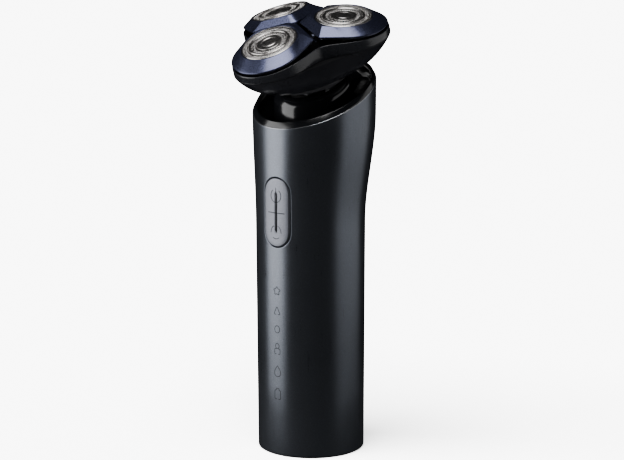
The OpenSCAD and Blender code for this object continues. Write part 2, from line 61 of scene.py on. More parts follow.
def rounded(corners: Sequence[tuple[float, ...]], closed: bool = False, steps: int = 4) -> np.ndarray:
    """Turns a polyline's corners into short curves.

    Args:
        corners: (a, b, fillet) for each corner; the fillet is how far the curve starts from it.
        closed: whether the last corner joins the first.
        steps: pieces in each curve.

    Returns:
        The points, one row each.
    """
    points = np.array([c[:2] for c in corners], float)
    out: list[np.ndarray] = []
    count = len(points)
    for i, corner in enumerate(corners):
        fillet = corner[2] if len(corner) > 2 else 0.0
        if fillet <= 0 or (not closed and i in (0, count - 1)):
            out.append(points[i])
            continue
        ends = []
        for other in (points[i - 1], points[(i + 1) % count]):
            side = other - points[i]
            length = float(np.hypot(*side))
            ends.append(points[i] + side * min(fillet, 0.48 * length) / length)
        for t in np.linspace(0, 1, steps + 1):
            out.append((1 - t) ** 2 * ends[0] + 2 * t * (1 - t) * points[i] + t * t * ends[1])
    return np.array(out)


class Mesher:
    """Collects rings of points, in millimetres, and joins them into one smooth mesh."""

    def __init__(self) -> None:
        """Starts with nothing."""
        self.points: list[np.ndarray] = []
        self.faces: list[list[int]] = []

    def add(self, points: Iterable[Sequence[float]]) -> list[int]:
        """Adds points and returns their numbers."""
        start = len(self.points)
        self.points.extend(np.array(p, float) for p in points)
        return list(range(start, len(self.points)))

    def strip(self, a: Sequence[int], b: Sequence[int], closed: bool = True) -> None:
        """Joins two rows of equal count with four-sided faces."""
        count = len(a)
        for i in range(count if closed else count - 1):
            j = (i + 1) % count
            self.faces.append([a[i], a[j], b[j], b[i]])

    def zip(self, ring: Sequence[int]) -> None:
        """Closes a ring that is the same on both sides of the line through its first and middle points."""
        half = len(ring) // 2
        left = list(ring[1:half])
        right = list(reversed(ring[half + 1:]))
        self.faces.append([ring[0], left[0], right[0]])
        self.strip(left, right, closed=False)
        self.faces.append([left[-1], ring[half], right[-1]])

    def fan(self, ring: Sequence[int]) -> None:
        """Closes a ring with triangles round its middle."""
        middle = self.add([np.mean([self.points[i] for i in ring], axis=0)])[0]
        for i, a in enumerate(ring):
            self.faces.append([a, ring[(i + 1) % len(ring)], middle])

    def loft(self, rings: Sequence[np.ndarray], joined: bool = False, caps: bool = False) -> list[list[int]]:
        """Joins closed rings in order.

        Args:
            rings: the rings, all of one count.
            joined: whether the last ring joins the first, as in a ring-shaped solid.
            caps: whether the two ends are closed.

        Returns:
            The numbers of each ring's points.
        """
        rows = [self.add(ring) for ring in rings]
        for a, b in zip(rows, rows[1:]):
            self.strip(a, b)
        if joined:
            self.strip(rows[-1], rows[0])
        if caps:
            self.fan(rows[0])
            self.fan(rows[-1])
        return rows

    def revolve(self, profile: np.ndarray, count: int = 96, joined: bool = False, caps: bool = False,
                centre: tuple[float, float] = (0.0, 0.0)) -> list[list[int]]:
        """Turns a profile of (radius, height) points round an upright axis."""
        angles = np.linspace(0, 2 * math.pi, count, endpoint=False)
        rings = [np.stack([centre[0] + r * np.cos(angles), centre[1] + r * np.sin(angles),
                           np.full(count, z)], axis=1) for r, z in profile]
        return self.loft(rings, joined, caps)

    def box(self, low: Point, high: Point) -> None:
        """Adds a plain block, for parts hidden inside others."""
        x, y, z = zip(low, high)
        ring = [(x[0], y[0]), (x[1], y[0]), (x[1], y[1]), (x[0], y[1])]
        self.loft([np.array([(a, b, c) for a, b in ring]) for c in z], caps=True)

    def tube(self, path: np.ndarray, radius: float, count: int = 12) -> None:
        """Adds a round bar along a straight or gently bent path, with closed ends."""
        rings = []
        for i, point in enumerate(path):
            way = Vector(path[min(i + 1, len(path) - 1)] - path[max(i - 1, 0)]).normalized()
            side = way.orthogonal().normalized()
            up = way.cross(side)
            angles = np.linspace(0, 2 * math.pi, count, endpoint=False)
            rings.append(np.array([point + radius * (math.cos(t) * np.array(side) + math.sin(t) * np.array(up))
                                   for t in angles]))
        self.loft(rings, caps=True)

    def build(self, name: str, place: Matrix | None = None) -> bpy.types.Object:
        """Makes the object.

        Args:
            name: the piece's name.
            place: where the piece's own axes stand, in millimetres; the model's axes if left out.

        Returns:
            The new object, smooth, in metres.
        """
        place = place or Matrix.Identity(4)
        points = [(place @ Vector(p)) * MM for p in self.points]
        mesh = bpy.data.meshes.new(name)
        mesh.from_pydata([tuple(p) for p in points], [], self.faces)
        work = bmesh.new()
        work.from_mesh(mesh)
        bmesh.ops.recalc_face_normals(work, faces=work.faces)
        for face in work.faces:
            face.smooth = True
        work.to_mesh(mesh)
        work.free()
        piece = bpy.data.objects.new(name, mesh)
        bpy.context.scene.collection.objects.link(piece)
        return piece


# ---------------------------------------------------------------- shader graphs

class Wire:
    """One output of a node, with arithmetic that adds Math nodes."""

    def __init__(self, graph: "Graph", socket: bpy.types.NodeSocket) -> None:
        """Keeps the graph and the socket."""
        self.graph = graph
        self.socket = socket

    def _math(self, operation: str, *values: "Wire | float") -> "Wire":
        """Adds one Math node and returns its value."""
        return self.graph.node("ShaderNodeMath", {"operation": operation}, dict(enumerate(values)))

    def __add__(self, other: "Wire | float") -> "Wire":
        """Sum."""
        return self._math("ADD", self, other)

    def __sub__(self, other: "Wire | float") -> "Wire":
        """Difference."""
        return self._math("SUBTRACT", self, other)

    def __rsub__(self, other: float) -> "Wire":
        """Difference from a number."""
        return self._math("SUBTRACT", other, self)

    def __mul__(self, other: "Wire | float") -> "Wire":
        """Product."""
        return self._math("MULTIPLY", self, other)

    def __truediv__(self, other: "Wire | float") -> "Wire":
        """Quotient."""
        return self._math("DIVIDE", self, other)

    __radd__ = __add__
    __rmul__ = __mul__

    def power(self, other: float) -> "Wire":
        """This value to a power."""
        return self._math("POWER", self, other)

    def sine(self) -> "Wire":
        """Sine of this value."""
        return self._math("SINE", self)

    def between(self, low: float, high: float) -> "Wire":
        """How far this value is from low to high, held to 0 and 1."""
        return self.graph.node("ShaderNodeMapRange", {"clamp": True},
                               {"Value": self, "From Min": low, "From Max": high})


class Graph:
    """A material's nodes, with one way to add any of them."""

    def __init__(self, name: str) -> None:
        """Makes an empty material with its output."""
        self.material = bpy.data.materials.new(name)
        self.material.use_nodes = True
        self.tree = self.material.node_tree
        self.tree.nodes.clear()
        self.place = self.node("ShaderNodeTexCoord", output="Object")

    def node(self, kind: str, settings: dict | None = None, values: dict | None = None,
             output: str | int = 0) -> Wire:
        """Adds a node.

        Args:
            kind: the node's type.
            settings: its own settings, or the stops of its ramp under "stops".
            values: what its sockets hold or link to.
            output: the output that is wanted.

        Returns:
            That output.
        """
        made = self.tree.nodes.new(kind)
        for key, value in (settings or {}).items():
            if key == "stops":
                ramp = made.color_ramp.elements
                while len(ramp) > 1:
                    ramp.remove(ramp[-1])
                ramp[0].position, ramp[0].color = value[0]
                for position, colour in value[1:]:
                    ramp.new(position).color = colour
            else:
                setattr(made, key, value)
        for key, value in (values or {}).items():
            if isinstance(value, Wire):
                self.tree.links.new(value.socket, made.inputs[key])
            else:
                made.inputs[key].default_value = value
        return Wire(self, made.outputs[output] if made.outputs else None)

    def noise(self, scale: float, detail: float = 2.0, stretch: Point = (1, 1, 1),
              roughness: float = 0.5) -> Wire:
        """Cloudy noise in the object's own axes; scale is per metre."""
        at = self.node("ShaderNodeVectorMath", {"operation": "MULTIPLY"}, {0: self.place, 1: stretch})
        return self.node("ShaderNodeTexNoise", {}, {"Vector": at, "Scale": scale, "Detail": detail,
                                                    "Roughness": roughness})

    def cells(self, scale: float, output: str = "Color") -> Wire:
        """Small cells, each with its own value; scale is per metre."""
        return self.node("ShaderNodeTexVoronoi", {}, {"Vector": self.place, "Scale": scale}, output)

    def mix(self, share: "Wire | float", a: "Wire | tuple", b: "Wire | tuple") -> Wire:
        """A colour between a and b."""
        return self.node("ShaderNodeMix", {"data_type": "RGBA"}, {0: share, 6: a, 7: b}, 2)

    def bump(self, height: Wire, strength: float, distance: float, under: Wire | None = None) -> Wire:
        """A normal that follows a height."""
        values = {"Height": height, "Strength": strength, "Distance": distance}
        if under is not None:
            values["Normal"] = under
        return self.node("ShaderNodeBump", {}, values)

    def finish(self, **sockets: "Wire | float | tuple") -> bpy.types.Material:
        """Ends the graph in a Principled shader; an underscore stands for a space in a socket's name."""
        values = {key.replace("_", " "): value for key, value in sockets.items()}
        shader = self.node("ShaderNodeBsdfPrincipled", {}, values)
        self.node("ShaderNodeOutputMaterial", {}, {"Surface": shader})
        return self.material


def rgba(colour: Sequence[float]) -> tuple[float, ...]:
    """A colour with full cover."""
    return (*colour, 1.0)


def shade(colour: Sequence[float], factor: float) -> tuple[float, ...]:
    """A colour made lighter or darker."""
    return rgba([min(1.0, c * factor) for c in colour])


@dataclass(frozen=True)
class SatinMetal:
    """Blasted and dyed metal: fine sparkle, soft clouds of sheen and faint handling marks."""

    name: str
    colour: Point
    roughness: float = 0.36
    sparkle: float = 0.35

    def make(self) -> bpy.types.Material:
        """Builds the material."""
        g = Graph(self.name)
        grain = g.cells(5200)
        fleck = g.node("ShaderNodeSeparateColor", {}, {"Color": grain}, "Red")
        fine = g.noise(9000, 1)
        cloud = g.noise(38, 3)
        marks = g.noise(900, 3, (1, 1, 0.12)).between(0.56, 0.75)
        bright = fleck.power(5) * self.sparkle + (cloud - 0.5) * 0.25
        colour = g.mix(bright.between(-0.25, 0.75), shade(self.colour, 0.8), shade(self.colour, 1.7))
        rough = self.roughness + (cloud - 0.5) * 0.1 + (fine - 0.5) * 0.12 - marks * 0.03
        height = fine + fleck * 0.6
        return g.finish(Base_Color=colour, Metallic=0.92, Roughness=rough,
                        Normal=g.bump(height, 0.16, 0.00002))


@dataclass(frozen=True)
class Gloss:
    """Polished moulding: deep colour, a little dust and hairline wiping marks."""

    name: str
    colour: Point
    roughness: float = 0.1
    coat: float = 0.6

    def make(self) -> bpy.types.Material:
        """Builds the material."""
        g = Graph(self.name)
        wiping = g.noise(420, 4, (1, 0.2, 1)).between(0.45, 0.8)
        dust = g.cells(1500, "Distance").between(0.1, 0.0)
        flow = g.noise(45, 2)
        colour = g.mix(dust * 0.25 + flow * 0.3, rgba(self.colour), shade(self.colour, 1.9))
        rough = self.roughness + wiping * 0.06 + dust * 0.12
        return g.finish(Base_Color=colour, Roughness=rough, Coat_Weight=self.coat,
                        Coat_Roughness=max(0.05, self.roughness - 0.06), Normal=g.bump(flow, 0.05, 0.0002))


@dataclass(frozen=True)
class Lacquer:
    """Metallic lacquer: coloured flake under a clear coat."""

    name: str
    colour: Point
    roughness: float = 0.3

    def make(self) -> bpy.types.Material:
        """Builds the material."""
        g = Graph(self.name)
        flake = g.node("ShaderNodeSeparateColor", {}, {"Color": g.cells(7500)}, "Green")
        drift = g.noise(60, 2)
        wear = g.noise(260, 4).between(0.6, 0.72)
        colour = g.mix(flake * 0.45 + drift * 0.4, shade(self.colour, 0.75), shade(self.colour, 1.6))
        rough = self.roughness + (flake - 0.5) * 0.14 + wear * 0.04
        return g.finish(Base_Color=colour, Metallic=0.9, Roughness=rough, Coat_Weight=0.35,
                        Coat_Roughness=0.12, Normal=g.bump(flake, 0.05, 0.00002))


@dataclass(frozen=True)
class Turned:
    """Bright steel with fine rings about an axis, as a lathe or a polishing wheel leaves."""

    name: str
    colour: Point
    place: Matrix
    roughness: float = 0.26

    def make(self) -> bpy.types.Material:
        """Builds the material."""
        g = Graph(self.name)
        axis = self.place.to_3x3() @ Vector((0, 0, 1))
        centre = self.place.translation * MM
        from_axis = g.node("ShaderNodeVectorMath", {"operation": "SUBTRACT"}, {0: g.place, 1: tuple(centre)})
        across = g.node("ShaderNodeVectorMath", {"operation": "CROSS_PRODUCT"}, {0: from_axis, 1: tuple(axis)})
        radius = g.node("ShaderNodeVectorMath", {"operation": "LENGTH"}, {0: across}, "Value")
        rings = (radius * 60000.0).sine()
        haze = g.noise(700, 3)
        tone = rings * 0.03 + haze * 0.25
        colour = g.mix(tone.between(0.0, 0.6), shade(self.colour, 0.9), shade(self.colour, 1.08))
        rough = self.roughness + rings * 0.03 + (haze - 0.5) * 0.08
        return g.finish(Base_Color=colour, Metallic=1.0, Roughness=rough,
                        Normal=g.bump(rings + haze, 0.05, 0.00001))


@dataclass(frozen=True)
class Steel:
    """Plain metal with drawn or rolled grain along one axis."""

    name: str
    colour: Point
    roughness: float = 0.3
    along: Point = (1, 1, 0.05)

    def make(self) -> bpy.types.Material:
        """Builds the material."""
        g = Graph(self.name)
        grain = g.noise(4200, 3, self.along)
        stain = g.noise(150, 3)
        colour = g.mix(grain * 0.5 + stain * 0.5, shade(self.colour, 0.7), shade(self.colour, 1.15))
        rough = self.roughness + (grain - 0.5) * 0.2 + (stain - 0.5) * 0.14
        return g.finish(Base_Color=colour, Metallic=1.0, Roughness=rough,
                        Normal=g.bump(grain, 0.15, 0.00002))


@dataclass(frozen=True)
class Moulded:
    """Matt moulding with a spark-eroded texture; rubber is the same with a softer, rougher skin."""

    name: str
    colour: Point
    roughness: float = 0.5
    grain: float = 2600
    depth: float = 0.2

    def make(self) -> bpy.types.Material:
        """Builds the material."""
        g = Graph(self.name)
        pits = g.noise(self.grain, 3, roughness=0.65)
        tone = g.noise(90, 3)
        scuff = g.noise(500, 4, (1, 0.15, 1)).between(0.6, 0.78)
        colour = g.mix(tone * 0.6 + pits * 0.4, shade(self.colour, 0.78), shade(self.colour, 1.3))
        rough = self.roughness + (pits - 0.5) * 0.25 - scuff * 0.08
        return g.finish(Base_Color=colour, Roughness=rough, Normal=g.bump(pits, self.depth, 0.00004))


@dataclass(frozen=True)
class CircuitBoard:
    """Solder mask over faint copper tracks."""

    name: str

    def make(self) -> bpy.types.Material:
        """Builds the material."""
        g = Graph(self.name)
        tracks = g.node("ShaderNodeTexBrick", {"offset": 0.37, "squash": 1.6},
                        {"Vector": g.node("ShaderNodeVectorMath", {"operation": "MULTIPLY"},
                                          {0: g.place, 1: (1, 0, 1)}),
                         "Scale": 420.0, "Mortar Size": 0.06, "Color1": (0.2, 0.2, 0.2, 1),
                         "Color2": (0.3, 0.3, 0.3, 1), "Mortar": (1, 1, 1, 1)}, "Fac")
        haze = g.noise(300, 2)
        colour = g.mix(tracks * 0.5 + haze * 0.2, (0.012, 0.09, 0.045, 1), (0.09, 0.3, 0.13, 1))
        return g.finish(Base_Color=colour, Roughness=0.28 + haze * 0.15, Coat_Weight=0.3,
                        Normal=g.bump(tracks, 0.2, 0.00003))


class Paint(Enum):
    """The finishes that more than one piece wears."""

    SLEEVE = SatinMetal("slate_anodised", (0.17, 0.185, 0.215), 0.31)
    BUTTON = SatinMetal("slate_anodised_button", (0.23, 0.24, 0.275), 0.38)
    EDGE = SatinMetal("bright_cut_edge", (0.55, 0.56, 0.6), 0.22, 0.1)
    ETCH = Moulded("etched_dark", (0.02, 0.022, 0.027), 0.6)
    PIANO = Gloss("piano_black", (0.006, 0.0065, 0.008), 0.16, 0.4)
    HOUSING = Gloss("smoked_gloss", (0.014, 0.0145, 0.018), 0.24, 0.4)
    BAND = Gloss("band_gloss", (0.016, 0.017, 0.021), 0.26, 0.6)
    SKIRT = Gloss("skirt_gloss", (0.04, 0.04, 0.044), 0.3, 0.3)
    NAVY = Lacquer("navy_lacquer", (0.075, 0.082, 0.145))
    LIP = Lacquer("grey_lacquer", (0.16, 0.17, 0.24), 0.28)
    DECK = Moulded("black_moulding", (0.012, 0.0125, 0.014), 0.42)
    INNER = Moulded("grey_moulding", (0.05, 0.052, 0.06), 0.5)
    GEAR = Moulded("acetal", (0.62, 0.58, 0.47), 0.42, 1800, 0.12)
    TEAL = Moulded("teal_moulding", (0.03, 0.13, 0.22), 0.42, 1800, 0.12)
    IVORY = Moulded("ivory_moulding", (0.7, 0.66, 0.56), 0.45, 1800, 0.12)
    MILKY = Moulded("milky_guide", (0.6, 0.63, 0.66), 0.3, 1200, 0.08)
    RUBBER = Moulded("black_rubber", (0.014, 0.014, 0.014), 0.75, 1400, 0.35)
    RED_RUBBER = Moulded("red_rubber", (0.3, 0.035, 0.02), 0.62, 1400, 0.3)
    BASE = Moulded("base_moulding", (0.02, 0.021, 0.024), 0.55, 2000, 0.3)
    SCREW = Steel("plated_screws", (0.62, 0.63, 0.65), 0.24)
    SINTER = Steel("sintered_steel", (0.36, 0.36, 0.38), 0.42, (1, 1, 1))
    CAN = Steel("plated_can", (0.55, 0.56, 0.58), 0.28)
    NICKEL = Steel("nickel_strip", (0.66, 0.62, 0.53), 0.3, (1, 0.05, 1))
    WRAP = Gloss("cell_wrap", (0.03, 0.14, 0.34), 0.2, 0.2)
    BOARD = CircuitBoard("solder_mask")


class Wardrobe:
    """Makes each finish once and puts it on pieces and on the frame's own nodes."""

    def __init__(self) -> None:
        """Starts with no finish made."""
        self.made: dict[str, bpy.types.Material] = {}

    def material(self, finish: object) -> bpy.types.Material:
        """The finish's material, made at its first use."""
        finish = finish.value if isinstance(finish, Paint) else finish
        if finish.name not in self.made:
            self.made[finish.name] = finish.make()
        return self.made[finish.name]

    def piece(self, piece: bpy.types.Object, finish: object, body: str, slot: str,
              replaces: Sequence[str] = ()) -> bpy.types.Object:
        """Dresses a new piece and fixes it to its body.

        Args:
            piece: the object.
            finish: its finish.
            body: the body that it moves with.
            slot: the record's slot that its colour belongs to; not used.
            replaces: the frame's nodes that it stands for.

        Returns:
            The object.
        """
        piece.data.materials.append(self.material(finish))
        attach(piece, body)
        if replaces:
            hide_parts(*replaces)
        LOG.info("%s rides on %s", piece.name, body)
        return piece

    def node(self, name: str, finish: object) -> None:
        """Dresses one of the frame's own nodes."""
        thing = frame["nodes"][name]
        for slot in thing.material_slots:
            slot.link = "OBJECT"
            slot.material = self.material(finish)
        LOG.info("%s dressed", name)


# ---------------------------------------------------------------- places, from the frame's joints

def joint(name: str) -> dict:
    """The frame's joint of that name."""
    return next(j for j in frame["record"]["behaviour"]["joints"] if j["name"] == name)


def placed(origin: Sequence[float], up: Sequence[float], side: Sequence[float]) -> Matrix:
    """Axes at an origin given in metres, with Z along up and X along side; the result is in millimetres."""
    z = Vector(up).normalized()
    x = (Vector(side) - Vector(side).dot(z) * z).normalized()
    y = z.cross(x)
    turn = Matrix((x, y, z)).transposed().to_4x4()
    return Matrix.Translation(Vector(origin) / MM) @ turn


def head_place() -> Matrix:
    """The head's axes: at the floating joint's middle, Z along the head, Y to its back."""
    return placed(joint("head_roll")["pos_m"], joint("lid_lift")["axis"], joint("head_pitch")["axis"])


def petal_place(number: int) -> Matrix:
    """A petal's axes: at its foil's middle, Z out through the foil, Y outward."""
    spin = joint(f"cutter_{number}_spin")
    return placed(spin["pos_m"], spin["axis"], joint(f"petal_{number}_rock")["axis"])


# ---------------------------------------------------------------- handle

@dataclass
class HandleForm:
    """The handle's outer form: a slightly growing round bar whose neck swells towards the back."""

    base_r: float = 19.7
    taper: float = 0.005
    neck_swell: float = 2.3
    swell_from: float = 86.0
    swell_to: float = 126.0
    rim_z: float = 131.4
    rim_slope: float = math.radians(24)
    wall: float = 1.2

    def swell(self, z: float) -> float:
        """How far the section's middle has moved back at a height."""
        t = min(1.0, max(0.0, (z - self.swell_from) / (self.swell_to - self.swell_from)))
        return self.neck_swell * t * t * (3 - 2 * t)

    def radius(self, z: float) -> float:
        """The section's radius at a height."""
        return self.base_r + self.taper * z + self.swell(z)

    def at(self, turn: float, z: float, depth: float = 0.0) -> Point:
        """A point under the skin; turn is counted from the front."""
        r = self.radius(z) - depth
        return (r * math.sin(turn), self.swell(z) - r * math.cos(turn), z)

    def in_front(self, x: float, z: float, depth: float = 0.0) -> Point:
        """A point under the front's skin, at a sideways distance x from the middle."""
        r = self.radius(z) - depth
        return (x, self.swell(z) - math.sqrt(r * r - x * x), z)

    def rim(self, turn: float, drop: float = 0.0) -> float:
        """Height of the slanted rim at a turn from the front."""
        z = self.rim_z
        for _ in range(6):
            z = self.rim_z + math.tan(self.rim_slope) * self.at(turn, z)[1] - drop
        return z


@dataclass
class Pill:
    """The button's outline: two half rounds and straight sides."""

    middle_z: float = 91.5
    length: float = 25.8
    width: float = 11.8

    def towards(self, x: float, z: float, grow: float = 0.0) -> tuple[float, float]:
        """The outline's point nearest the way from its spine to (x, z)."""
        half = (self.length - self.width) / 2
        foot = min(half, max(-half, z - self.middle_z))
        way = np.array([x, z - self.middle_z - foot])
        way = way / np.hypot(*way) * (self.width / 2 + grow)
        return way[0], self.middle_z + foot + way[1]

    def ring(self, grow: float, count: int = 96) -> np.ndarray:
        """Points round the outline from the top, the same on both sides."""
        radius = self.width / 2 + grow
        half = (self.length - self.width) / 2
        arc = math.pi * radius
        total = 2 * arc + 4 * half
        out = []
        for i in range(count):
            s = (i / count * total) % total
            if s < arc / 2 or s >= total - arc / 2:
                a = (s if s < arc / 2 else s - total) / radius
                out.append((radius * math.sin(a), half + radius * math.cos(a)))
            elif s < arc / 2 + 2 * half:
                out.append((radius, half - (s - arc / 2)))
            elif s < 1.5 * arc + 2 * half:
                a = (s - arc / 2 - 2 * half) / radius
                out.append((radius * math.cos(a), -half - radius * math.sin(a)))
            else:
                out.append((-radius, -half + (s - 1.5 * arc - 2 * half)))
        return np.array(out) + np.array([0, self.middle_z])


@dataclass
class Sleeve:
    """The handle's metal sleeve, with its button hole and bright cut edges."""

    form: HandleForm
    pill: Pill
    columns: int = 180
    window_turn: float = math.radians(30)
    window_low: float = 75.5
    window_high: float = 107.5
    shoulder: float = 112.0

    def _rows(self) -> list[Callable[[float], tuple[float, float]]]:
        """Each row as a rule from a turn to (height, depth under the skin)."""
        rows: list[Callable[[float], tuple[float, float]]] = []
        for z, depth in ((0.3, 0.5), (0.34, 0.3), (0.45, 0.14), (0.65, 0.03), (0.95, 0.0)):
            rows.append(lambda turn, z=z, depth=depth: (z, depth))
        heights = [*np.linspace(8, self.window_low, 9), *np.linspace(self.window_low, self.window_high, 27)[1:],
                   *np.linspace(self.window_high, self.shoulder, 4)[1:]]
        self.first_window_row = len(rows) + 8
        self.last_window_row = self.first_window_row + 26
        for z in heights:
            rows.append(lambda turn, z=z: (float(z), 0.0))
        for share in np.linspace(0, 1, 13)[1:]:
            def climb(turn: float, share: float = float(share)) -> tuple[float, float]:
                """A row between the shoulder and the rim."""
                return self.shoulder + (self.form.rim(turn, 0.9) - self.shoulder) * share, 0.0
            rows.append(climb)
        for drop, depth in ((0.4, 0.0), (0.3, 0.015), (0.12, 0.12), (0.02, 0.26), (0.0, 0.42)):
            rows.append(lambda turn, drop=drop, depth=depth: (self.form.rim(turn, drop), depth))
        return rows

    def _sheet(self, mesh: Mesher, inward: float) -> tuple[list[list[int]], list[int]]:
        """Adds one side of the wall and returns its rows and its loop round the window."""
        turns = [2 * math.pi * (i - self.columns // 2) / self.columns for i in range(self.columns)]
        grid = [mesh.add(self.form.at(turn, rule(turn)[0], max(inward, rule(turn)[1])) for turn in turns)
                for rule in self._rows()]
        left = min(i for i, turn in enumerate(turns) if turn >= -self.window_turn - 1e-6)
        right = self.columns - left
        low, high = self.first_window_row, self.last_window_row
        for k in range(len(grid) - 1):
            for i in range(self.columns):
                if low <= k < high and left <= i < right:
                    continue
                j = (i + 1) % self.columns
                mesh.faces.append([grid[k][i], grid[k][j], grid[k + 1][j], grid[k + 1][i]])
        loop = ([grid[low][i] for i in range(left, right)] + [grid[k][right] for k in range(low, high)]
                + [grid[high][i] for i in range(right, left, -1)] + [grid[k][left] for k in range(high, low, -1)])
        return grid, loop

    def _window(self, mesh: Mesher, loop: list[int], inward: float, edge: float) -> list[int]:
        """Fills from the window's border to the button hole and returns the last ring."""
        border = [mesh.points[i] for i in loop]
        flat = [(p[0], p[2]) for p in border]
        near = [self.pill.towards(x, z, edge) for x, z in flat]
        last = loop
        for t in (0.16, 0.33, 0.5, 0.66, 0.8, 0.9, 0.96, 1.0):
            ring = mesh.add(self.form.in_front(a[0] + (b[0] - a[0]) * t, a[1] + (b[1] - a[1]) * t, inward)
                            for a, b in zip(flat, near))
            mesh.strip(last, ring)
            last = ring
        return last

    def build(self, wardrobe: Wardrobe) -> None:
        """Builds and dresses the sleeve."""
        mesh = Mesher()
        outer, outer_loop = self._sheet(mesh, 0.0)
        inner, inner_loop = self._sheet(mesh, self.form.wall)
        mesh.strip(outer[0], inner[0])
        mesh.strip(outer[-1], inner[-1])
        last = self._window(mesh, outer_loop, 0.0, 0.34)
        for grow, depth in ((0.3, 0.01), (0.2, 0.06), (0.08, 0.17), (0.01, 0.32), (0.0, 0.5)):
            points = [self.pill.towards(mesh.points[i][0], mesh.points[i][2], grow) for i in last]
            ring = mesh.add(self.form.in_front(x, z, depth) for x, z in points)
            mesh.strip(last, ring)
            last = ring
        mesh.strip(last, self._window(mesh, inner_loop, self.form.wall, 0.0))
        wardrobe.piece(mesh.build("handle_sleeve"), Paint.SLEEVE, "handle", "slate_metal", ["body_sleeve"])
        self._edge_line(wardrobe)

    def _edge_line(self, wardrobe: Wardrobe) -> None:
        """Builds the bright cut line along the sleeve's upper edge."""
        mesh = Mesher()
        turns = [2 * math.pi * i / 240 for i in range(240)]
        section = ((0.3, 0.02), (0.12, 0.13), (0.03, 0.27), (0.0, 0.44), (-0.04, 0.9), (0.5, 0.9))
        mesh.loft([np.array([self.form.at(t, self.form.rim(t, drop - 0.02), depth - 0.02) for t in turns])
                   for drop, depth in section], joined=True)
        wardrobe.piece(mesh.build("sleeve_edge_line"), Paint.EDGE, "handle", "slate_metal")


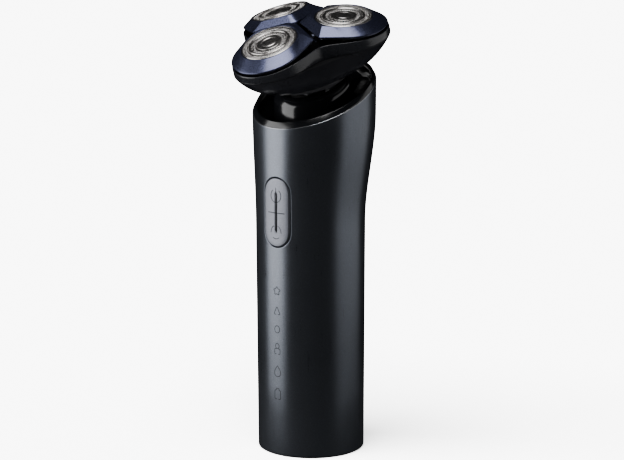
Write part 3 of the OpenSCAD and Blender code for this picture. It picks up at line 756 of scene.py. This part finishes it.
@dataclass
class Neck:
    """The glossy rim ring, the faceted recess inside it and the drum that carries the head."""

    form: HandleForm
    back: float = 2.3
    rim_r: float = 22.42
    rim_top_r: float = 21.63
    rim_inner_r: float = 20.75
    rim_lift: float = 1.5
    recess_r: float = 20.65
    facet_low_r: float = 15.89
    facet_rise_r: float = 6.28
    facet_depth: float = 6.2
    drum_r: float = 14.4
    drum_back: float = 1.6
    drum_round: float = 3.6

    def _on_plane(self, x: float, y: float, lift: float) -> Point:
        """A point of the slanted plane, lifted at right angles to it."""
        slope = self.form.rim_slope
        return (x, y, self.form.rim_z + math.tan(slope) * y + lift / math.cos(slope))

    def _ring(self, radius: Callable[[float], float], lift: Callable[[float], float],
              turns: np.ndarray) -> np.ndarray:
        """A closed ring round the neck's middle."""
        return np.array([self._on_plane(radius(t) * math.cos(t), self.back + radius(t) * math.sin(t), lift(t))
                         for t in turns])

    def _rim(self, wardrobe: Wardrobe) -> None:
        """Builds the rim ring."""
        corners = [(self.rim_r - 0.6, -0.4, 0.1), (self.rim_r, -0.35, 0.1), (self.rim_r, 0.1, 0.2),
                   (self.rim_top_r, self.rim_lift, 0.12),
                   (self.rim_inner_r + 0.2, self.rim_lift, 0.1), (self.rim_inner_r, self.rim_lift - 0.4, 0.12),
                   (self.rim_inner_r, -2.6, 0.1), (self.rim_r - 1.6, -2.6, 0.1), (self.rim_r - 1.6, -0.4, 0.0)]
        profile = rounded(corners, closed=True)
        turns = np.linspace(0, 2 * math.pi, 240, endpoint=False)
        mesh = Mesher()
        rings = []
        for r, h in profile:
            shift = 0.2 * max(0.0, h) / self.rim_lift if r > 21.2 else 0.0
            rings.append(self._ring(lambda t, r=r, shift=shift: r + shift * math.sin(t), lambda t, h=h: h, turns))
        mesh.loft(rings, joined=True)
        wardrobe.piece(mesh.build("rim_ring_skin"), Paint.PIANO, "handle", "black_gloss", ["rim_ring"])

    def _recess(self, wardrobe: Wardrobe) -> None:
        """Builds the recess: a round wall, then eight flat facets that run down to a narrow shelf."""
        ridge = [math.radians(22.5 + 45 * k) for k in range(8)]
        turns = sorted([*np.linspace(0, 2 * math.pi, 144, endpoint=False),
                        *[r + d for r in ridge for d in (-0.006, 0.006)]])
        turns = np.array([t for t in turns
                          if all(abs(t - r) > 0.004 or abs(abs(t - r) - 0.006) < 1e-9 for r in ridge)])

        def off_facet(t: float) -> float:
            """Cosine of the turn from the nearest facet's middle."""
            step = math.radians(45)
            return math.cos(t - round(t / step) * step)

        def facet_r(t: float, h: float) -> float:
            """The facets' radius at a height over the plane."""
            return (self.facet_low_r + self.facet_rise_r * (h + self.facet_depth) / self.facet_depth) / off_facet(t)

        def meet(t: float) -> float:
            """Height at which the wall meets the facets."""
            return ((self.recess_r * off_facet(t) - self.facet_low_r) / self.facet_rise_r - 1) * self.facet_depth

        rows: list[tuple[Callable[[float], float], Callable[[float], float]]] = [
            (lambda t: self.recess_r, lambda t: 0.7), (lambda t: self.recess_r, lambda t: meet(t) + 0.25),
            (lambda t: self.recess_r, lambda t: meet(t) + 0.04)]
        for share in (0.03, 0.25, 0.5, 0.75, 0.955):
            def height(t: float, share: float = share) -> float:
                """A height part of the way down the facets."""
                return meet(t) + (-self.facet_depth - meet(t)) * share
            rows.append((lambda t, height=height: facet_r(t, height(t)), height))
        low = -self.facet_depth
        for inset, drop in ((0.01, -0.03), (0.12, 0.12), (0.14, 0.4), (0.14, 9.0)):
            rows.append((lambda t, inset=inset: facet_r(t, low) - inset, lambda t, drop=drop: low - drop))
        rows += [(lambda t: self.recess_r + 0.3, lambda t: low - 9.0), (lambda t: self.recess_r + 0.3, lambda t: 0.7)]
        mesh = Mesher()
        mesh.loft([self._ring(radius, height, turns) for radius, height in rows], joined=True)
        wardrobe.piece(mesh.build("recess_liner"), Paint.PIANO, "handle", "black_gloss", ["neck_shroud"])

    def _drum(self, wardrobe: Wardrobe, head: Matrix) -> None:
        """Builds the drum, its slanted top kept square to the head."""
        up = head.to_3x3() @ Vector((0, 0, 1))
        foot = head @ Vector((0, 0, -1.8))
        turns = np.linspace(0, 2 * math.pi, 144, endpoint=False)

        def row(inset: float, drop: float) -> np.ndarray:
            """A ring at an inset from the drum's wall and a drop under its top."""
            out = []
            for t in turns:
                x = (self.drum_r - inset) * math.cos(t)
                y = self.drum_back + (self.drum_r - inset) * math.sin(t)
                out.append((x, y, foot.z - (up.y * (y - foot.y)) / up.z - drop))
            return np.array(out)

        curve = [(self.drum_round * (1 - math.sin(a)), self.drum_round * (1 - math.cos(a)))
                 for a in np.linspace(math.pi / 2, 0.33, 10)]
        rings = [np.column_stack([row(0, 0)[:, :2], np.full(len(turns), 113.0)])]
        rings += [row(inset, drop) for inset, drop in curve]
        rings += [row(2.56, 0.24), row(2.6, 0.5), row(2.6, 6.0)]
        mesh = Mesher()
        mesh.loft(rings)
        wardrobe.piece(mesh.build("neck_drum"), Paint.PIANO, "handle", "black_gloss", ["neck_pedestal"])

    def build(self, wardrobe: Wardrobe, head: Matrix) -> None:
        """Builds and dresses the three pieces."""
        self._rim(wardrobe)
        self._recess(wardrobe)
        self._drum(wardrobe, head)


# ---------------------------------------------------------------- button and icons

@dataclass
class Stroke:
    """A thin inlaid line on a curved face."""

    width: float = 0.26
    proud: float = 0.012
    sunk: float = 0.12

    def lay(self, mesh: Mesher, path: Sequence[tuple[float, float]], face: Callable[[float, float, float], Point],
            closed: bool) -> None:
        """Adds the line's solid.

        Args:
            mesh: what it is added to.
            path: the line's points, (x, z).
            face: the rule that puts (x, z) on the face at a depth.
            closed: whether the line's ends join.
        """
        points = np.array(path, float)
        after = np.roll(points, -1, axis=0)
        before = np.roll(points, 1, axis=0)
        if not closed:
            after[-1], before[0] = points[-1], points[0]
        way = after - before
        side = np.stack([-way[:, 1], way[:, 0]], axis=1) / np.hypot(way[:, 0], way[:, 1])[:, None] * self.width / 2
        rows = []
        for sign, depth in ((-1, self.sunk), (-1, -self.proud), (1, -self.proud), (1, self.sunk)):
            rows.append(mesh.add(face(x, z, depth) for x, z in points + sign * side))
        for a, b in zip(rows, rows[1:] + rows[:1]):
            mesh.strip(a, b, closed=closed)
        if not closed:
            for end in (0, -1):
                mesh.faces.append([row[end] for row in rows])


def arc(x: float, z: float, rx: float, rz: float, start: float, end: float,
        count: int = 24) -> list[tuple[float, float]]:
    """Points along part of an ellipse; the angles are degrees from +X."""
    angles = np.radians(np.linspace(start, end, count))
    return [(x + rx * math.cos(a), z + rz * math.sin(a)) for a in angles]


class Icon(Enum):
    """The outline signs down the handle's front, each with its middle height."""

    STAR = 62.4
    PEAK = 54.8
    CIRCLE = 48.0
    LOCK = 40.6
    DROP = 32.1
    BOTTLE = 23.6

    def paths(self) -> list[tuple[list[tuple[float, float]], bool]]:
        """The sign's lines as (points, closed)."""
        z = self.value
        if self is Icon.STAR:
            star = []
            for k in range(10):
                turn = math.radians(90 + 36 * k)
                rx, rz = (0.95, 1.0) if k % 2 else (1.7, 1.75)
                star.append((math.cos(turn) * rx, z + math.sin(turn) * rz, 0.35))
            return [(list(map(tuple, rounded(star, True))), True)]
        if self is Icon.PEAK:
            corners = [(0, z + 1.9, 0.7), (1.45, z - 1.2, 0.6), (-1.45, z - 1.2, 0.6)]
            return [(list(map(tuple, rounded(corners, True, 6))), True)]
        if self is Icon.CIRCLE:
            return [(arc(0, z, 1.15, 1.35, 0, 345), True)]
        if self is Icon.LOCK:
            body = [(1.25, z - 1.9, 0.4), (1.25, z + 0.1, 0.4), (-1.25, z + 0.1, 0.4), (-1.25, z - 1.9, 0.4)]
            return [(list(map(tuple, rounded(body, True))), True), (arc(0, z + 1.15, 0.85, 0.95, 0, 345), True)]
        if self is Icon.DROP:
            corners = [(0, z + 2.2, 0.1), (1.5, z + 0.1, 1.2), (1.2, z - 1.9, 1.2), (-1.2, z - 1.9, 1.2),
                       (-1.5, z + 0.1, 1.2)]
            return [(list(map(tuple, rounded(corners, True, 6))), True)]
        half = [(1.35, z - 2.0, 0.5), (1.35, z + 1.2, 0.5), (0.6, z + 1.5, 0.2), (0.6, z + 2.1, 0.1)]
        body = half + [(-x, height, fillet) for x, height, fillet in reversed(half)]
        return [(list(map(tuple, rounded(body, True))), True)]


@dataclass
class Button:
    """The rocker button: a pill-shaped cap with a flatter face, its signs and its inner lugs."""

    pill: Pill
    gap: float = 0.24
    face_y: float = -20.35
    face_r: float = 27.0
    back_y: float = -17.9

    def on_face(self, x: float, z: float, depth: float = 0.0) -> Point:
        """A point under the button's face."""
        r = self.face_r - depth
        return (x, self.face_y + self.face_r - math.sqrt(r * r - x * x), z)

    def build(self, wardrobe: Wardrobe) -> None:
        """Builds and dresses the cap and its signs."""
        mesh = Mesher()
        rows = []
        for grow, depth in ((0.0, None), (0.0, 0.75), (0.0, 0.42), (-0.03, 0.24), (-0.12, 0.1), (-0.26, 0.02),
                            (-0.42, 0.0), (-1.6, 0.0), (-3.2, 0.0), (-4.8, 0.0), (-6.0, 0.0)):
            ring = self.pill.ring(-self.gap + grow)
            if depth is None:
                inner_r = 20.2
                rows.append(mesh.add((x, self.back_y + inner_r - math.sqrt(inner_r ** 2 - x * x), z)
                                     for x, z in ring))
            else:
                rows.append(mesh.add(self.on_face(x, z, depth) for x, z in ring))
            if len(rows) > 1:
                mesh.strip(rows[-2], rows[-1])
        mesh.zip(rows[-1])
        inner = mesh.add((x * 0.8, self.back_y + 0.9, self.pill.middle_z + (z - self.pill.middle_z) * 0.8)
                         for x, z in self.pill.ring(-self.gap))
        mesh.strip(rows[0], inner)
        mesh.zip(inner)
        for z in (-7.5, 7.5):
            mesh.tube(np.array([(0, y, self.pill.middle_z + z) for y in (-18.2, -16.5, -14.8)]), 1.0)
        mesh.box((-1.5, -18.2, self.pill.middle_z - 2.2), (1.5, -15.0, self.pill.middle_z + 2.2))
        wardrobe.piece(mesh.build("rocker_cap"), Paint.BUTTON, "rocker", "button_metal", ["rocker_button"])
        self._signs(wardrobe)

    def _signs(self, wardrobe: Wardrobe) -> None:
        """Builds the power sign, the dividing line and the broken circle."""
        mesh = Mesher()
        stroke = Stroke(0.3)
        upper, lower = self.pill.middle_z + 6.2, self.pill.middle_z - 7.2
        stroke.lay(mesh, arc(0, upper, 2.3, 2.45, 126, 414, 40), self.on_face, False)
        stroke.lay(mesh, [(0, upper + 3.0), (0, upper + 1.6), (0, upper + 0.4)], self.on_face, False)
        stroke.lay(mesh, [(-3.8 + 7.6 * k / 12, self.pill.middle_z - 0.1) for k in range(13)], self.on_face, False)
        for middle in (150, 30, 270):
            stroke.lay(mesh, arc(0, lower, 2.3, 2.45, middle - 37, middle + 37, 16), self.on_face, False)
        wardrobe.piece(mesh.build("button_signs"), Paint.ETCH, "rocker", "button_metal")


@dataclass
class Signs:
    """The row of outline signs inlaid in the sleeve below the button."""

    form: HandleForm

    def build(self, wardrobe: Wardrobe) -> None:
        """Builds and dresses the signs."""
        mesh = Mesher()
        for icon in Icon:
            for path, closed in icon.paths():
                Stroke(0.3).lay(mesh, path, self.form.in_front, closed)
        wardrobe.piece(mesh.build("sleeve_signs"), Paint.ETCH, "handle", "slate_metal")


# ---------------------------------------------------------------- head

@dataclass
class Housing:
    """The head's body: skirt, bowl and the band of the lid above the seam."""

    outline_mean: float = 26.5
    outline_wave: float = 6.3
    outline_flat: float = 0.35
    skirt_r: float = 14.2
    bowl_foot: float = 1.8
    seam: float = 13.3
    band_mid: float = 17.03
    band_wave: float = 1.38
    columns: int = 216

    def lobe(self, t: float) -> float:
        """1 at a lobe, -1 in a valley."""
        return math.cos(3 * (t - math.radians(30)))

    def outline(self, t: float) -> float:
        """The head's outline at the seam."""
        return (self.outline_mean + self.outline_wave * self.lobe(t)
                - self.outline_flat * math.cos(6 * (t - math.radians(30))))

    def ring(self, radius: Callable[[float], float], height: Callable[[float], float]) -> np.ndarray:
        """A ring of points from two rules of the turn."""
        return np.array([(radius(t) * math.cos(t), radius(t) * math.sin(t), height(t))
                         for t in np.linspace(0, 2 * math.pi, self.columns, endpoint=False)])

    def _bowl(self, wardrobe: Wardrobe, place: Matrix) -> None:
        """Builds the bowl's skin, from its round foot to the seam."""
        def radius(t: float, h: float, inset: float) -> float:
            """The bowl's radius at a turn and height."""
            u = (h - self.bowl_foot) / (self.seam - self.bowl_foot)
            share = 0.42 * u + 0.58 * math.sqrt(max(0.0, 1 - (1 - u) ** 2))
            return self.skirt_r + 0.6 + (self.outline(t) - self.skirt_r - 0.6) * share - inset
        rows = [(self.bowl_foot - 0.02, 0.9), (self.bowl_foot, 0.1)]
        rise = self.seam - 0.5 - self.bowl_foot
        rows += [(self.bowl_foot + rise * u ** 1.3, -0.1) for u in np.linspace(0.01, 1, 22)]
        edge = ((0.34, -0.09), (0.22, -0.03), (0.15, 0.08), (0.12, 0.25), (0.12, 1.2), (1.6, 1.25))
        rows += [(self.seam - drop, inset) for drop, inset in edge]
        rings = [self.ring(lambda t, h=h, i=i: radius(t, h, i), lambda t, h=h: h) for h, i in rows]
        mesh = Mesher()
        mesh.loft(rings)
        wardrobe.piece(mesh.build("gear_housing_skin", place), Paint.HOUSING, "head", "housing_gloss")

    def _band(self, wardrobe: Wardrobe, place: Matrix) -> None:
        """Builds the lid's band, which rises between the petals."""
        def top(t: float) -> float:
            """Height of the band's upper edge."""
            return self.band_mid - self.band_wave * self.lobe(t)
        section = [(-0.08, 0.0, 0.02), (0.0, 0.0, 0.04), (0.03, 0.0, 0.13), (0.03, 0.0, 0.3), (0.03, 0.5, 0.0),
                   (0.02, 1.0, -0.5), (0.0, 1.0, -0.24), (-0.04, 1.0, -0.09), (-0.12, 1.0, -0.02), (-0.2, 1.0, 0.0),
                   (-0.42, 1.0, 0.0), (-0.52, 1.0, -0.06), (-0.56, 1.0, -0.2), (-1.22, 0.0, 0.1), (-1.12, 0.0, 0.02)]
        rings = []
        for grow, share, extra in section:
            rings.append(self.ring(lambda t, g=grow: self.outline(t) + g,
                                   lambda t, s=share, e=extra: self.seam + (top(t) - self.seam) * s + e))
        mesh = Mesher()
        mesh.loft(rings, joined=True)
        wardrobe.piece(mesh.build("lid_band", place), Paint.BAND, "lid", "housing_gloss", ["head_band"])

    def _skirt(self, wardrobe: Wardrobe, place: Matrix) -> None:
        """Builds the round skirt under the bowl."""
        corners = [(12.3, 0, 0.1), (self.skirt_r - 0.1, 0, 0.5), (self.skirt_r + 0.3, 1.1, 0.3),
                   (self.skirt_r + 0.3, 1.85, 0.1), (12.3, 1.85, 0.1)]
        mesh = Mesher()
        mesh.revolve(rounded(corners, True), 144, joined=True)
        wardrobe.piece(mesh.build("skirt_ring", place), Paint.SKIRT, "head", "dark_plastic", ["head_skirt"])

    def build(self, wardrobe: Wardrobe, place: Matrix) -> None:
        """Builds and dresses the three pieces."""
        self._bowl(wardrobe, place)
        self._band(wardrobe, place)
        self._skirt(wardrobe, place)


@dataclass
class PetalOutline:
    """One level of a petal's outline: a wedge towards the middle and a round outer end."""

    radius: float
    out: float
    side: float
    corner: float
    tip: float
    height: float

    def ring(self, inset: float = 0.0, lift: float = 0.0) -> np.ndarray:
        """Points round the outline from the inner tip, the same count at every level."""
        r = self.radius - inset
        tip = self.tip + inset * 1.2
        side, corner = self.side - inset * 1.15, self.corner + inset * 0.55
        away = math.hypot(side, corner - self.out)
        tangent = math.atan2(corner - self.out, side) + math.acos(min(1.0, r / away))
        wedge = [(0.6 + (side - 0.6) * s, tip + (corner - tip) * s) for s in np.linspace(0.0, 0.955, 10)]
        flank_end = (r * math.cos(tangent), self.out + r * math.sin(tangent))
        flank = [(side + (flank_end[0] - side) * s, corner + (flank_end[1] - corner) * s)
                 for s in np.linspace(0.06, 0.96, 9)]
        turn = rounded([wedge[-1], (side, corner, 9.0), flank[0]], False, 4)[1:-1]
        arc_points = [(r * math.cos(a), self.out + r * math.sin(a)) for a in np.linspace(tangent, math.pi / 2, 22)]
        half = [*wedge, *map(tuple, turn), *flank, *arc_points]
        whole = half + [(-x, y) for x, y in reversed(half[:-1])]
        return np.array([(x, y, self.height + lift) for x, y in whole])


@dataclass
class Petal:
    """A cutter's frame: navy shell, grey lip below it, steel foil, and the hinge under it."""

    number: int
    foil_r: float = 10.4
    top: PetalOutline = field(default_factory=lambda: PetalOutline(11.0, 0.0, 9.9, -6.9, -12.7, 0.0))
    rim: PetalOutline = field(default_factory=lambda: PetalOutline(13.9, 1.9, 14.2, -7.45, -15.9, -2.6))
    lip: PetalOutline = field(default_factory=lambda: PetalOutline(13.15, 1.9, 13.5, -7.2, -15.15, -2.9))
    hinge_w: float = -9.5
    hinge_drop: float = 5.6

    def build(self, wardrobe: Wardrobe) -> None:
        """Builds and dresses the petal's pieces."""
        place = petal_place(self.number)
        self._shell(wardrobe, place)
        self._lip(wardrobe, place)
        self._foil(wardrobe, place)

    def _bore(self, count_like: np.ndarray, radius: float, height: float) -> np.ndarray:
        """A circle whose points lie the same way from the middle as those of another ring."""
        angles = np.arctan2(count_like[:, 1], count_like[:, 0])
        return np.stack([radius * np.cos(angles), radius * np.sin(angles), np.full(len(angles), height)], axis=1)

    def _shell(self, wardrobe: Wardrobe, place: Matrix) -> None:
        """Builds the navy shell with crisp but softened ridges."""
        top = self.top.ring(0.1)
        edge = self.top.ring(0.0, -0.05)
        rim = self.rim.ring()
        low = self.rim.ring(0.05, -0.27)
        bore_r = self.foil_r + 0.17
        rings = [self._bore(low, 12.3, -2.92), self._bore(low, 11.6, -2.4)]
        rings += [self._bore(top, bore_r + wider, height)
                  for wider, height in ((0.0, -2.3), (0.0, -0.16), (0.03, -0.05), (0.12, 0.0))]
        rings += [top, edge]
        rings += [edge + (rim - edge) * s for s in (0.05, 0.35, 0.65, 0.93)]
        rings += [edge + (rim - edge) * 0.985 + np.array([0, 0, -0.02]), rim + np.array([0, 0, -0.08]),
                  low + np.array([0, 0, 0.06]), self.rim.ring(0.14, -0.34), self.rim.ring(0.7, -0.34)]
        mesh = Mesher()
        mesh.loft(rings, joined=True)
        wardrobe.piece(mesh.build(f"petal_shell_{self.number}", place), Paint.NAVY, f"petal_{self.number}",
                       "navy_metallic", [f"petal_frame_{self.number}"])

    def _lip(self, wardrobe: Wardrobe, place: Matrix) -> None:
        """Builds the lip below the shell, with the hinge's knuckles and pins."""
        mesh = Mesher()
        section = ((0.9, -0.04), (0.06, -0.04), (0.0, -0.1), (0.0, -0.75), (0.05, -0.84), (0.14, -0.88), (0.9, -0.89))
        rings = [self.lip.ring(inset, lift) for inset, lift in section]
        rings += [self._bore(rings[-1], 11.9, -3.79), self._bore(rings[-1], 11.9, -3.2)]
        mesh.loft(rings, joined=True)
        for s in (-1, 1):
            mesh.tube(np.array([(s * x, self.hinge_w, -self.hinge_drop) for x in (7.8, 8.4, 9.0)]), 1.3, 24)
            mesh.tube(np.array([(s * x, self.hinge_w, -self.hinge_drop) for x in (6.2, 8.0, 10.05)]), 0.8, 20)
            mesh.box((s * 8.4 - 0.6, self.hinge_w - 1.25, -self.hinge_drop),
                     (s * 8.4 + 0.6, self.hinge_w + 1.25, -3.75))
        wardrobe.piece(mesh.build(f"petal_lip_{self.number}", place), Paint.LIP, f"petal_{self.number}",
                       "navy_metallic")

    def _track(self, mesh: Mesher, count: int, inner: float, outer: float, heights: tuple[float, float],
               gap: float) -> None:
        """Adds a ring of bars with slots between them.

        Args:
            mesh: what they are added to.
            count: how many bars.
            inner: radius at which the slots start.
            outer: radius at which they end.
            heights: the bars' top at those two radii.
            gap: the slots' width.
        """
        for k in range(count):
            a = 2 * math.pi * k / count
            rows = []
            for r, h in ((inner, heights[0]), ((inner + outer) / 2, sum(heights) / 2 + 0.03), (outer, heights[1])):
                half = math.pi / count - gap / 2 / r
                rows.append(mesh.add([(r * math.cos(a - half), r * math.sin(a - half), h - 0.22),
                                      (r * math.cos(a - half), r * math.sin(a - half), h - 0.03),
                                      (r * math.cos(a - half * 0.7), r * math.sin(a - half * 0.7), h),
                                      (r * math.cos(a + half * 0.7), r * math.sin(a + half * 0.7), h),
                                      (r * math.cos(a + half), r * math.sin(a + half), h - 0.03),
                                      (r * math.cos(a + half), r * math.sin(a + half), h - 0.22)]))
            mesh.strip(rows[0], rows[1])
            mesh.strip(rows[1], rows[2])
            mesh.faces.append(rows[0])
            mesh.faces.append(rows[2])

    def _foil(self, wardrobe: Wardrobe, place: Matrix) -> None:
        """Builds the slotted foil: hub, inner track, raised ring, outer track, rim and wall."""
        mesh = Mesher()
        hub = [(4.75, -0.2), (4.75, 0.08), (4.6, 0.15), (4.2, 0.2), (3.1, 0.23), (2.95, 0.2), (2.85, 0.1), (2.75, 0.1),
               (2.65, 0.2), (2.5, 0.25), (1.2, 0.27)]
        rows = mesh.revolve(np.array(hub), 96)
        mesh.fan(rows[-1])
        under = mesh.revolve(np.array([(4.75, -0.2), (1.0, -0.1)]), 96)
        mesh.fan(under[-1])
        self._track(mesh, 40, 4.72, 6.75, (0.12, 0.16), 0.34)
        raised = [(6.72, -0.2, 0), (6.72, 0.14, 0.05), (6.95, 0.34, 0.12), (7.6, 0.35, 0.15), (7.86, 0.12, 0.08),
                  (7.86, -0.2, 0)]
        mesh.revolve(rounded(raised, True), 120, joined=True)
        self._track(mesh, 96, 7.84, 9.86, (0.14, 0.06), 0.26)
        self._track(mesh, 96, 8.9, 9.0, (0.13, 0.12), 0.0)
        wall = [(9.84, -0.2, 0), (9.84, 0.08, 0.04), (10.12, 0.1, 0.1), (self.foil_r, -0.12, 0.12),
                (self.foil_r, -2.6, 0.05), (11.2, -2.6, 0.05), (11.2, -2.85, 0.05), (10.0, -2.85, 0.05), (10.0, -0.35, 0.05)]
        mesh.revolve(rounded(wall, True), 120, joined=True)
        finish = Turned(f"foil_steel_{self.number}", (0.7, 0.675, 0.66), place)
        wardrobe.piece(mesh.build(f"foil_{self.number}", place), finish, f"petal_{self.number}", "foil_steel",
                       [f"foil_cap_{self.number}"])


# ---------------------------------------------------------------- the frame's own nodes

INNER_FINISHES: dict[Paint, list[str]] = {
    Paint.DECK: ["lid_deck", "gearbox_cover", "head_base"],
    Paint.INNER: ["head_yoke", "neck_post", "motor_bracket", "inner_frame", "button_bracket"],
    Paint.BASE: ["base_cap"],
    Paint.RUBBER: ["shaft_seal", "centring_cushion", "button_seal"],
    Paint.RED_RUBBER: ["base_seal"],
    Paint.CAN: ["motor_can", "usb_receptacle"],
    Paint.IVORY: ["motor_end_cap", "tact_switches", "indicator_leds"],
    Paint.WRAP: ["battery_cell"],
    Paint.NICKEL: ["battery_tabs"],
    Paint.BOARD: ["circuit_board"],
    Paint.MILKY: ["light_guide"],
    Paint.SCREW: ["frame_screws", "base_screws", "head_screws", "gimbal_pins", "button_pin", "motor_shaft",
                  "base_magnets", "lid_magnets", "petal_springs"],
    Paint.SINTER: ["drive_coupler", "gimbal_ring"],
    Paint.GEAR: ["sun_gear", "planet_gear_1", "planet_gear_2", "planet_gear_3"],
    Paint.TEAL: ["cutter_carrier_1", "cutter_carrier_2", "cutter_carrier_3"],
}


def dress_nodes(wardrobe: Wardrobe) -> None:
    """Dresses the nodes that stay as the frame has them."""
    for paint, names in INNER_FINISHES.items():
        for name in names:
            wardrobe.node(name, paint)
    for number in (1, 2, 3):
        wardrobe.node(f"foil_retainer_{number}", Paint.DECK)
        blade = Turned(f"blade_steel_{number}", (0.5, 0.5, 0.52), petal_place(number), 0.3)
        wardrobe.node(f"cutter_blade_{number}", blade)


# ---------------------------------------------------------------- studio

@dataclass
class Studio:
    """A pale floor, soft lights and the camera."""

    azimuth: float = math.radians(38.27)
    elevation: float = math.radians(10.92)
    distance: float = 0.8312
    aim_side: float = 0.0005
    lean: float = math.radians(-0.13)
    aim_height: float = 0.082
    lens: float = 129.6
    card_r: float = 130.0

    def way(self, turn: float, rise: float) -> Vector:
        """A direction given by its turn and rise from the camera's own, in degrees."""
        a, e = self.azimuth + math.radians(turn), math.radians(rise)
        return Vector((math.sin(a) * math.cos(e), -math.cos(a) * math.cos(e), math.sin(e)))

    def _camera(self) -> None:
        """Makes the camera."""
        a, e = self.azimuth, self.elevation
        back = Vector((math.sin(a) * math.cos(e), -math.cos(a) * math.cos(e), math.sin(e)))
        aim = Vector((math.cos(a), math.sin(a), 0)) * self.aim_side + Vector((0, 0, self.aim_height))
        data = bpy.data.cameras.new("camera")
        data.lens = self.lens
        data.sensor_width = 36.0
        data.clip_start = 0.01
        camera = bpy.data.objects.new("camera", data)
        camera.location = aim + back * self.distance
        camera.rotation_euler = (back.to_track_quat("Z", "Y") @ Quaternion((0, 0, 1), self.lean)).to_euler()
        bpy.context.scene.collection.objects.link(camera)
        bpy.context.scene.camera = camera

    def _light(self, name: str, turn: float, rise: float, far: float, size: tuple[float, float], watts: float,
               height: float = 0.1, tint: Point = (1, 1, 1)) -> None:
        """Makes one soft light that faces the shaver."""
        data = bpy.data.lights.new(name, "AREA")
        data.shape = "RECTANGLE"
        data.size, data.size_y = size
        data.energy = watts
        data.color = tint
        lamp = bpy.data.objects.new(name, data)
        way = self.way(turn, rise)
        lamp.location = Vector((0, 0, height)) + way * far
        lamp.rotation_euler = way.to_track_quat("Z", "Y").to_euler()
        bpy.context.scene.collection.objects.link(lamp)

    def _world(self) -> None:
        """A white surround for the eye that gives only a little light."""
        world = bpy.data.worlds.new("surround")
        world.use_nodes = True
        tree = world.node_tree
        tree.nodes.clear()
        path = tree.nodes.new("ShaderNodeLightPath")
        dim = tree.nodes.new("ShaderNodeBackground")
        dim.inputs["Color"].default_value = (0.9, 0.94, 1.0, 1.0)
        dim.inputs["Strength"].default_value = 0.003
        white = tree.nodes.new("ShaderNodeBackground")
        white.inputs["Strength"].default_value = 11.0
        mix = tree.nodes.new("ShaderNodeMixShader")
        out = tree.nodes.new("ShaderNodeOutputWorld")
        tree.links.new(path.outputs["Is Camera Ray"], mix.inputs[0])
        tree.links.new(dim.outputs[0], mix.inputs[1])
        tree.links.new(white.outputs[0], mix.inputs[2])
        tree.links.new(mix.outputs[0], out.inputs["Surface"])
        bpy.context.scene.world = world

    def _floor(self) -> None:
        """A round pale floor, and a card under it that only reflections see."""
        mesh = Mesher()
        rows = mesh.revolve(np.array([(30.0, 0.0), (300.0, 0.0), (3000.0, 0.0)]), 96)
        mesh.fan(rows[0])
        floor = mesh.build("floor")
        g = Graph("pale_floor")
        haze = g.noise(9, 3)
        pale = g.mix(haze, (0.88, 0.88, 0.88, 1), (0.93, 0.93, 0.93, 1))
        floor.data.materials.append(g.finish(Base_Color=pale, Roughness=0.6))
        floor.visible_glossy = False
        floor.is_shadow_catcher = True
        card_mesh = Mesher()
        rows = card_mesh.revolve(np.array([(30.0, -0.5), (self.card_r, -0.5)]), 96)
        card_mesh.fan(rows[0])
        card = card_mesh.build("floor_card")
        card.data.materials.append(floor.data.materials[0])
        card.visible_camera = card.visible_diffuse = card.visible_shadow = False

    def build(self) -> None:
        """Builds the studio."""
        self._camera()
        self._world()
        self._floor()
        self._light("key", -80, 9, 0.62, (0.5, 0.66), 3.3)
        self._light("fill", 88, 8, 0.7, (0.95, 0.66), 1.25)
        self._light("top", -25, 68, 0.7, (0.5, 0.4), 4.0)


def main() -> None:
    """Builds the studio and every piece in order."""
    logging.basicConfig(level=logging.INFO, format="%(name)s: %(message)s")
    wardrobe = Wardrobe()
    Studio().build()
    form, pill, head = HandleForm(), Pill(), head_place()
    Sleeve(form, pill).build(wardrobe)
    Signs(form).build(wardrobe)
    Button(pill).build(wardrobe)
    Neck(form).build(wardrobe, head)
    Housing().build(wardrobe, head)
    for number in (1, 2, 3):
        Petal(number).build(wardrobe)
    dress_nodes(wardrobe)


if __name__ == "__main__":
    main()
